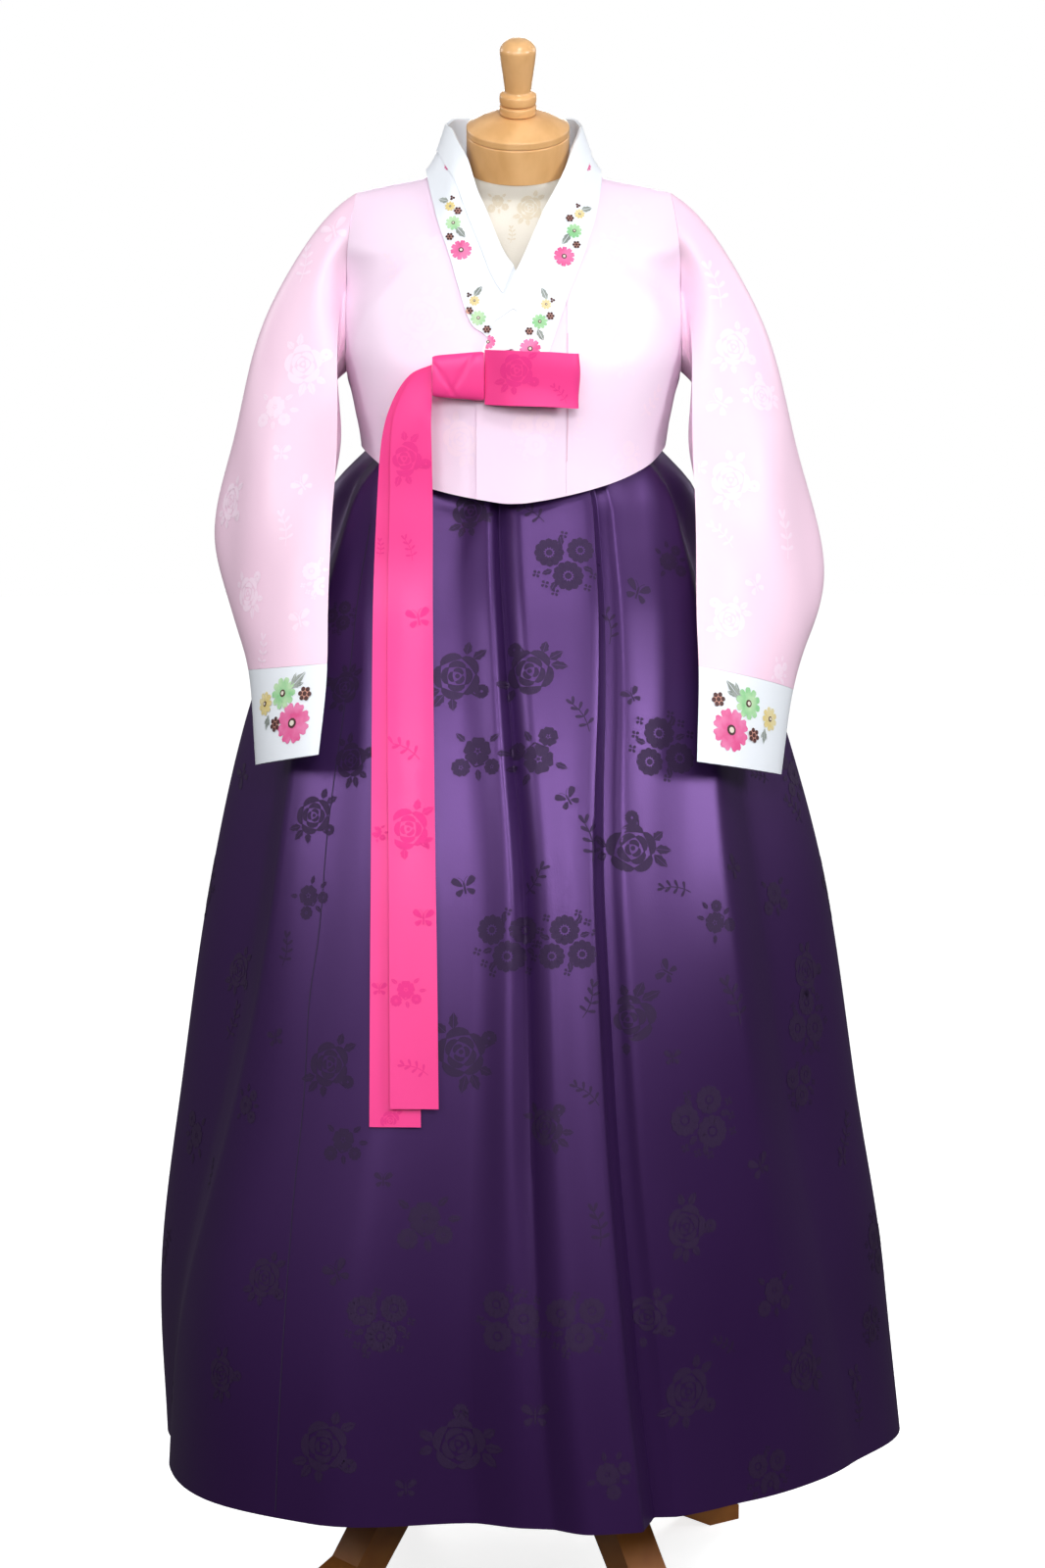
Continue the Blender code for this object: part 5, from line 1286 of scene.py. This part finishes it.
def crescent(radius, thick, start, sweep):
    """A curled petal seen from above: an arc about the flower's middle, pointed at its ends."""
    t = np.linspace(0.0, 1.0, 8)
    angle = np.radians(start + sweep * t)
    swell = thick * np.sin(math.pi * t) ** 0.6
    out = radius + 0.62 * swell
    inside = radius - 0.38 * swell
    return np.concatenate([np.column_stack([out * np.cos(angle), out * np.sin(angle)]),
                           np.column_stack([inside * np.cos(angle), inside * np.sin(angle)])[-2:0:-1]])


def rose():
    shapes = [disc(0.02, 0.0, 0.075)]
    for radius, thick, count, sweep, turn in ((0.60, 0.27, 5, 78.0, 0.0), (0.37, 0.21, 4, 96.0, 40.0),
                                              (0.185, 0.15, 3, 118.0, 10.0)):
        shapes += [crescent(radius, thick, turn + 360.0 * k / count, sweep) for k in range(count)]
    for x, y, turn, length in ((-0.52, -0.46, 195.0, 0.56), (-0.40, -0.60, 232.0, 0.52),
                               (-0.14, -0.72, 275.0, 0.40), (0.50, 0.54, 28.0, 0.50),
                               (0.30, 0.68, 78.0, 0.42)):
        shapes += leaf(x, y, turn, length, 0.30, 0.03)
    shapes += flower(0.78, -0.52, 0.03, 0.24, 5, 0.26, 15.0, 0.1, 8)
    shapes += stem(((0.42, -0.52), (0.62, -0.66), (0.72, -0.60)), 0.05)
    return shapes


def mums():
    shapes = []
    for x, y, size in ((-0.46, 0.34, 0.44), (0.44, 0.40, 0.40), (0.06, -0.38, 0.46)):
        shapes += flower(x, y, 0.11 * size / 0.4, size, 12, 0.20 * size / 0.4, 0.0, 0.0, 8)
        shapes.append(disc(x, y, 0.09 * size / 0.4))
    for x, y in ((-0.85, -0.30), (-0.62, -0.62), (0.78, -0.36), (0.60, -0.74), (-0.02, 0.88), (0.92, 0.02),
                 (-0.34, -0.88)):
        shapes += flower(x, y, 0.02, 0.13, 4, 0.10, 30.0, 0.0, 6)
    for x, y, turn in ((-0.10, 0.55, 95.0), (0.50, -0.12, -20.0), (-0.40, -0.20, 200.0),
                       (-0.30, -0.55, 240.0)):
        shapes += leaf(x, y, turn, 0.32, 0.18)
    return shapes


def blossoms():
    shapes = []
    for x, y, size, turn in ((0.0, 0.12, 0.52, 90.0), (-0.52, -0.48, 0.34, 30.0), (0.56, -0.40, 0.30, 60.0)):
        shapes += flower(x, y, 0.14 * size, size, 5, 0.98 * size, turn, 0.14)
        shapes.append(disc(x, y, 0.12 * size))
    for x, y, turn in ((0.42, 0.46, 40.0), (-0.46, 0.42, 140.0), (0.05, -0.50, -80.0), (0.70, 0.05, 5.0)):
        shapes += leaf(x, y, turn, 0.42, 0.22)
    return shapes + stem(((-0.30, -0.20), (-0.05, -0.42), (0.28, -0.30)), 0.05)


def butterfly():
    shapes = stem(((0.0, -0.42), (0.0, 0.0), (0.0, 0.36)), 0.13)
    for side in (1, -1):
        turn = 90.0 - side * 90.0
        shapes.append(petal(side * 0.12, 0.10, turn + side * 42.0, 0.92, 0.52, 0.06))
        shapes.append(petal(side * 0.12, -0.08, turn - side * 36.0, 0.66, 0.44, 0.08))
        shapes += stem(((0.0, 0.36), (side * 0.16, 0.62), (side * 0.34, 0.76)), 0.04)
    return shapes


def sprig():
    bend = ((-0.15, -0.95), (-0.02, -0.55), (0.05, -0.10), (0.02, 0.35), (-0.10, 0.75))
    shapes = stem(bend, 0.06)
    for (x, y), turns in zip(bend[1:], ((15.0, 160.0), (30.0, 150.0), (40.0, 135.0), (60.0, 110.0))):
        for turn in turns:
            shapes.append(petal(x, y, turn, 0.50, 0.20, 0.0, 8))
    return shapes


WEAVES = {"rose": rose, "mums": mums, "blossoms": blossoms, "butterfly": butterfly, "sprig": sprig}


def stitched(kind):
    """Embroidered motifs as (thread, outline, layers up)."""
    def with_thread(thread, shapes, layer=0):
        return [(thread, shape, layer) for shape in shapes]

    def eye(size):
        return (with_thread("thread_brown", [disc(0.0, 0.0, size, 12)], 1)
                + with_thread("thread_cream", [disc(0.0, 0.0, size * 0.55, 10)], 2))

    berries = [(0.52 * math.cos(math.radians(turn)), 0.52 * math.sin(math.radians(turn)))
               for turn in range(0, 360, 60)]
    if kind == "leaf":
        return with_thread("thread_grey", leaf(-0.9, 0.0, 0.0, 1.8, 0.85))
    if kind == "bigleaf":
        return with_thread("thread_grey", leaf(-0.9, 0.0, 0.0, 1.8, 0.62)
                           + leaf(-0.5, 0.12, 28.0, 0.9, 0.34) + leaf(-0.5, -0.12, -28.0, 0.9, 0.34))
    if kind == "berries3":
        return with_thread("thread_brown", [disc(x * 0.8, y * 0.8, 0.36) for x, y in berries[::2]])
    if kind == "berries7":
        return (with_thread("thread_peach", [disc(0.0, 0.0, 0.72, 12)])
                + with_thread("thread_brown", [disc(x * 1.25, y * 1.25, 0.30) for x, y in berries]
                              + [disc(0.0, 0.0, 0.30)], 2))
    thread, count, notch = {"pink10": ("thread_pink", 10, 0.14), "pink8": ("thread_pink", 8, 0.18),
                            "mint": ("thread_mint", 10, 0.06), "yellow": ("thread_yellow", 9, 0.04)}[kind]
    width = 4.3 / count
    return with_thread(thread, flower(0.0, 0.0, 0.05, 1.0, count, width, 10.0, notch, 14)) + eye(0.22)


# Laying motifs on cloth


def tree_of(thing):
    mesh = thing.data
    return BVHTree.FromPolygons([vert.co.copy() for vert in mesh.vertices],
                                [tuple(polygon.vertices) for polygon in mesh.polygons])


def sight(across, down):
    """The camera's line of sight through a place in the view."""
    right = (across - VIEW_CENTRE[0]) / VIEW_FOCUS
    low = (down - VIEW_CENTRE[1]) / VIEW_FOCUS
    return Vector((right, math.cos(VIEW_DOWN) - low * math.sin(VIEW_DOWN),
                   -math.sin(VIEW_DOWN) - low * math.cos(VIEW_DOWN))).normalized()


def seen(tree, across, down):
    place, normal, _, _ = tree.ray_cast(VIEW_FROM, sight(across, down))
    return None if place is None else (place, normal)


def frame_on(normal, turn):
    """Two directions along cloth with this normal, turned about it."""
    up = Vector((0.0, 0.0, 1.0)) - normal * normal.z
    up.normalize()
    side = up.cross(normal)
    angle = math.radians(turn)
    return (side * math.cos(angle) + up * math.sin(angle), up * math.cos(angle) - side * math.sin(angle))


def drop_on(tree, spot, axes, points):
    """Points of a flat outline dropped on the cloth, each with its normal there, or None off the cloth."""
    place, normal = spot
    side, up = axes
    dropped = []
    for x, y in points:
        start = place + side * x + up * y
        hit, facing, _, _ = tree.ray_cast(start + normal * DROP_START, -normal, DROP_REACH)
        if hit is None or facing.dot(normal) < LEAST_FACING:
            return None
        dropped.append((hit, facing))
    return dropped


def lay(build, tree, spot, shapes, size, turn, lift, slots):
    """Lay outlines on the cloth round a spot, a little above it, each with its own material slot.

    An outline that would reach off the cloth is left out.
    """
    axes = frame_on(spot[1], turn)
    for outline, slot, layer in zip(shapes, *slots):
        middle = outline.mean(axis=0, keepdims=True)
        half_way = middle + (outline - middle) * 0.5
        rings = [drop_on(tree, spot, axes, ring * size) for ring in (middle, half_way, outline)]
        if any(ring is None for ring in rings):
            continue
        rise = lift * (1 + LAYER_RISE * layer)
        core, half, rim = ([build.verts.new(hit + facing * rise) for hit, facing in ring] for ring in rings)
        for k in range(len(rim)):
            n = (k + 1) % len(rim)
            build.faces.new((core[0], half[k], half[n])).material_index = slot
            build.faces.new((half[k], rim[k], rim[n], half[n])).material_index = slot


def settle(name, build, materials):
    mesh = bpy.data.meshes.new(name)
    build.to_mesh(mesh)
    build.free()
    mesh.shade_smooth()
    thing = bpy.data.objects.new(name, mesh)
    bpy.context.collection.objects.link(thing)
    for material in materials:
        mesh.materials.append(material)
    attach(thing, "root")
    return thing


def weave_motifs(name, thing, motifs, material, spots=()):
    """The motifs woven into one piece of cloth: those of the shown side, then the given spots."""
    tree = tree_of(thing)
    build = bmesh.new()
    placed = [(kind, seen(tree, across, down), size, turn) for kind, across, down, size, turn in motifs]
    for kind, spot, size, turn in placed + list(spots):
        if spot is not None:
            shapes = WEAVES[kind]()
            lay(build, tree, spot, shapes, size / 1000.0, turn, MOTIF_LIFT,
                ([0] * len(shapes), [0] * len(shapes)))
    return settle(name, build, [material])


def stitch_motifs(name, thing, motifs, materials):
    tree = tree_of(thing)
    threads = sorted(key for key in materials if key.startswith("thread_"))
    build = bmesh.new()
    for kind, across, down, size, turn in motifs:
        spot = seen(tree, across, down)
        if spot is not None:
            parts = stitched(kind)
            lay(build, tree, spot, [part[1] for part in parts], size / 1000.0, turn, STITCH_LIFT,
                ([threads.index(part[0]) for part in parts], [part[2] for part in parts]))
    return settle(name, build, [materials[thread] for thread in threads])


def seam_line(name, thing, places, material):
    """A sewn line that shows as a narrow strip down the cloth."""
    tree = tree_of(thing)
    places = np.array(places, float)
    downs = np.linspace(places[0, 1], places[-1, 1], LINE_ROWS)
    acrosses = smooth(places[:, 1], places[:, 0], downs)
    build = bmesh.new()
    before = None
    for across, down in zip(acrosses, downs):
        spot = seen(tree, across, down)
        if spot is None:
            continue
        place, normal = spot
        side, _ = frame_on(normal, 0.0)
        row = [build.verts.new(place + normal * MOTIF_LIFT + side * (LINE_WIDTH / 2 * way))
               for way in (-1, 1)]
        if before:
            build.faces.new((before[0], before[1], row[1], row[0]))
        before = row
    return settle(name, build, [material])


def skirt_spots(tree):
    """The repeat round the skirt's sides and back, in staggered rows."""
    spots = []
    heights = np.arange(0.26, 1.20, REPEAT_STEP)
    for row, height in enumerate(heights):
        half = float(column(SKIRT_SECTIONS, 0, 2, height))
        count = int(2 * math.pi * half / (REPEAT_STEP * 1.25))
        for k in range(count):
            angle = 360.0 * (k + 0.5 * (row % 2)) / count
            if min(angle, 360.0 - angle) < SHOWN_SIDE:
                continue
            turn = math.radians(angle)
            out = Vector((math.sin(turn), -math.cos(turn), 0.0))
            place, normal, _, _ = tree.ray_cast(Vector((0.0, 0.0, height)) + out, -out)
            kind = REPEAT_KINDS[(k * 2 + row) % len(REPEAT_KINDS)]
            if place is not None:
                spots.append((kind, (place, normal), REPEAT_SIZES[kind], 37.0 * (k + 3 * row)))
    return spots


def back_spots(trees):
    """The repeat over the back of the jacket, as spots by the name of the piece they fall on."""
    spots = {name: [] for name in trees}
    for row, height in enumerate(np.arange(1.00, 1.60, 0.095)):
        for k, across in enumerate(np.arange(-0.42, 0.40, 0.125) + 0.062 * (row % 2)):
            start = Vector((across, 1.0, height))
            hits = []
            for name, tree in trees.items():
                place, normal, _, far = tree.ray_cast(start, Vector((0.0, -1.0, 0.0)))
                if place is not None:
                    hits.append((far, name, place, normal))
            if not hits:
                continue
            _, name, place, normal = min(hits, key=lambda hit: hit[0])
            kind = REPEAT_KINDS[(k * 2 + row) % len(REPEAT_KINDS)]
            if place.y > 0.0:
                spots[name].append((kind, (place, normal), REPEAT_SIZES[kind] * 0.8, 41.0 * (k + 2 * row)))
    return spots


# Camera, light and floor


def make_camera():
    lens = bpy.data.cameras.new("camera")
    lens.sensor_fit = "VERTICAL"
    lens.sensor_height = SENSOR
    lens.lens = VIEW_FOCUS / VIEW_HEIGHT * SENSOR
    lens.clip_end = 60.0
    camera = bpy.data.objects.new("camera", lens)
    camera.location = VIEW_FROM
    camera.rotation_euler = (math.pi / 2 - VIEW_DOWN, 0.0, 0.0)
    bpy.context.collection.objects.link(camera)
    bpy.context.scene.camera = camera


def make_lights(materials):
    for name, place, aim, size, power, spread in LIGHTS:
        light = bpy.data.lights.new(name, "AREA")
        light.shape = "SQUARE"
        light.size = size
        light.energy = power
        light.spread = math.radians(spread)
        lamp = bpy.data.objects.new(name, light)
        lamp.location = place
        lamp.rotation_euler = (Vector(aim) - Vector(place)).to_track_quat("-Z", "Y").to_euler()
        bpy.context.collection.objects.link(lamp)
    world = bpy.data.worlds.new("studio")
    world.use_nodes = True
    tree = world.node_tree
    around = tree.nodes["Background"]
    around.inputs["Strength"].default_value = ROOM_LIGHT
    where = node(tree, "ShaderNodeTexCoord")
    split = node(tree, "ShaderNodeSeparateXYZ")
    rise = node(tree, "ShaderNodeValToRGB")
    rise.color_ramp.elements[0].position = ROOM_LOW[0]
    rise.color_ramp.elements[0].color = (ROOM_LOW[1],) * 3 + (1.0,)
    rise.color_ramp.elements[1].position = ROOM_HIGH[0]
    rise.color_ramp.elements[1].color = (ROOM_HIGH[1],) * 3 + (1.0,)
    tree.links.new(where.outputs["Generated"], split.inputs["Vector"])
    tree.links.new(split.outputs["Z"], rise.inputs["Fac"])
    tree.links.new(rise.outputs["Color"], around.inputs["Color"])
    behind = node(tree, "ShaderNodeBackground")
    behind.inputs["Color"].default_value = (1.0, 1.0, 1.0, 1.0)
    behind.inputs["Strength"].default_value = 1.0
    choice = node(tree, "ShaderNodeMixShader")
    path = node(tree, "ShaderNodeLightPath")
    tree.links.new(path.outputs["Is Camera Ray"], choice.inputs["Fac"])
    tree.links.new(around.outputs["Background"], choice.inputs[1])
    tree.links.new(behind.outputs["Background"], choice.inputs[2])
    tree.links.new(choice.outputs["Shader"], tree.nodes["World Output"].inputs["Surface"])
    bpy.context.scene.world = world
    bpy.context.scene.view_settings.view_transform = "Standard"
    mesh = bpy.data.meshes.new("floor")
    turn = np.linspace(0.0, 2 * math.pi, FLOOR_SIDES, endpoint=False)
    mesh.from_pydata([(FLOOR_REACH * math.cos(a), FLOOR_REACH * math.sin(a), 0.0) for a in turn], [],
                     [tuple(range(len(turn)))])
    floor = bpy.data.objects.new("floor", mesh)
    mesh.materials.append(materials["floor"])
    bpy.context.collection.objects.link(floor)
    floor.visible_diffuse = False
    floor.visible_glossy = False


def main():
    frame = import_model()
    materials = make_materials()
    make_camera()
    make_lights(materials)
    cloth = {}
    for group in (make_torso, make_neck, make_waistband, make_skirt, make_body, make_sleeves, make_collar,
                  make_ribbon):
        cloth.update(group(materials))
    for number in range(1, LEGS + 1):
        leg = frame["nodes"]["stand_leg_%d" % number]
        leg.material_slots[0].material = materials["leg_wood"]
        edge = leg.modifiers.new("rounded edges", "BEVEL")
        edge.width = LEG_EDGE
        edge.segments = LEG_EDGE_STEPS
    for name in ("stand_pole", "stand_hub"):
        frame["nodes"][name].material_slots[0].material = materials["leg_wood"]
    backs = back_spots({name: tree_of(cloth[name])
                        for name in ("jeogori_back", "sleeve_right", "sleeve_left")})
    skirt = cloth["chima_skirt"]
    on = {"chima_skirt": [weave_motifs("chima_weave", skirt, SKIRT_MOTIFS, materials["purple_weave"],
                                       skirt_spots(tree_of(skirt)))]}
    for name in ("jeogori_front_right", "jeogori_front_left", "jeogori_overlap"):
        on[name] = [weave_motifs(name + "_weave", cloth[name], JACKET_MOTIFS, materials["pink_weave"])]
    on["jeogori_back"] = [weave_motifs("jeogori_back_weave", cloth["jeogori_back"], (),
                                       materials["pink_weave"], backs["jeogori_back"])]
    for name, motifs in SLEEVE_MOTIFS.items():
        on[name] = [weave_motifs(name + "_weave", cloth[name], motifs, materials["pink_weave"], backs[name])]
    for name, motifs in RIBBON_MOTIFS.items():
        on[name] = [weave_motifs(name + "_weave", cloth[name], motifs, materials["magenta_weave"])]
    weave_motifs("form_torso_weave", cloth["form_torso"], TORSO_MOTIFS, materials["torso_weave"])
    on["collar_band"] = [stitch_motifs("collar_stitches", cloth["collar_band"], COLLAR_STITCHES, materials)]
    for name, motifs in CUFF_STITCHES.items():
        on[name] = [stitch_motifs(name + "_stitches", cloth[name], motifs, materials)]
    for name, line, places in SEAM_LINES:
        on.setdefault(name, []).append(seam_line(name + "_line", cloth[name], places, materials[line]))


main()
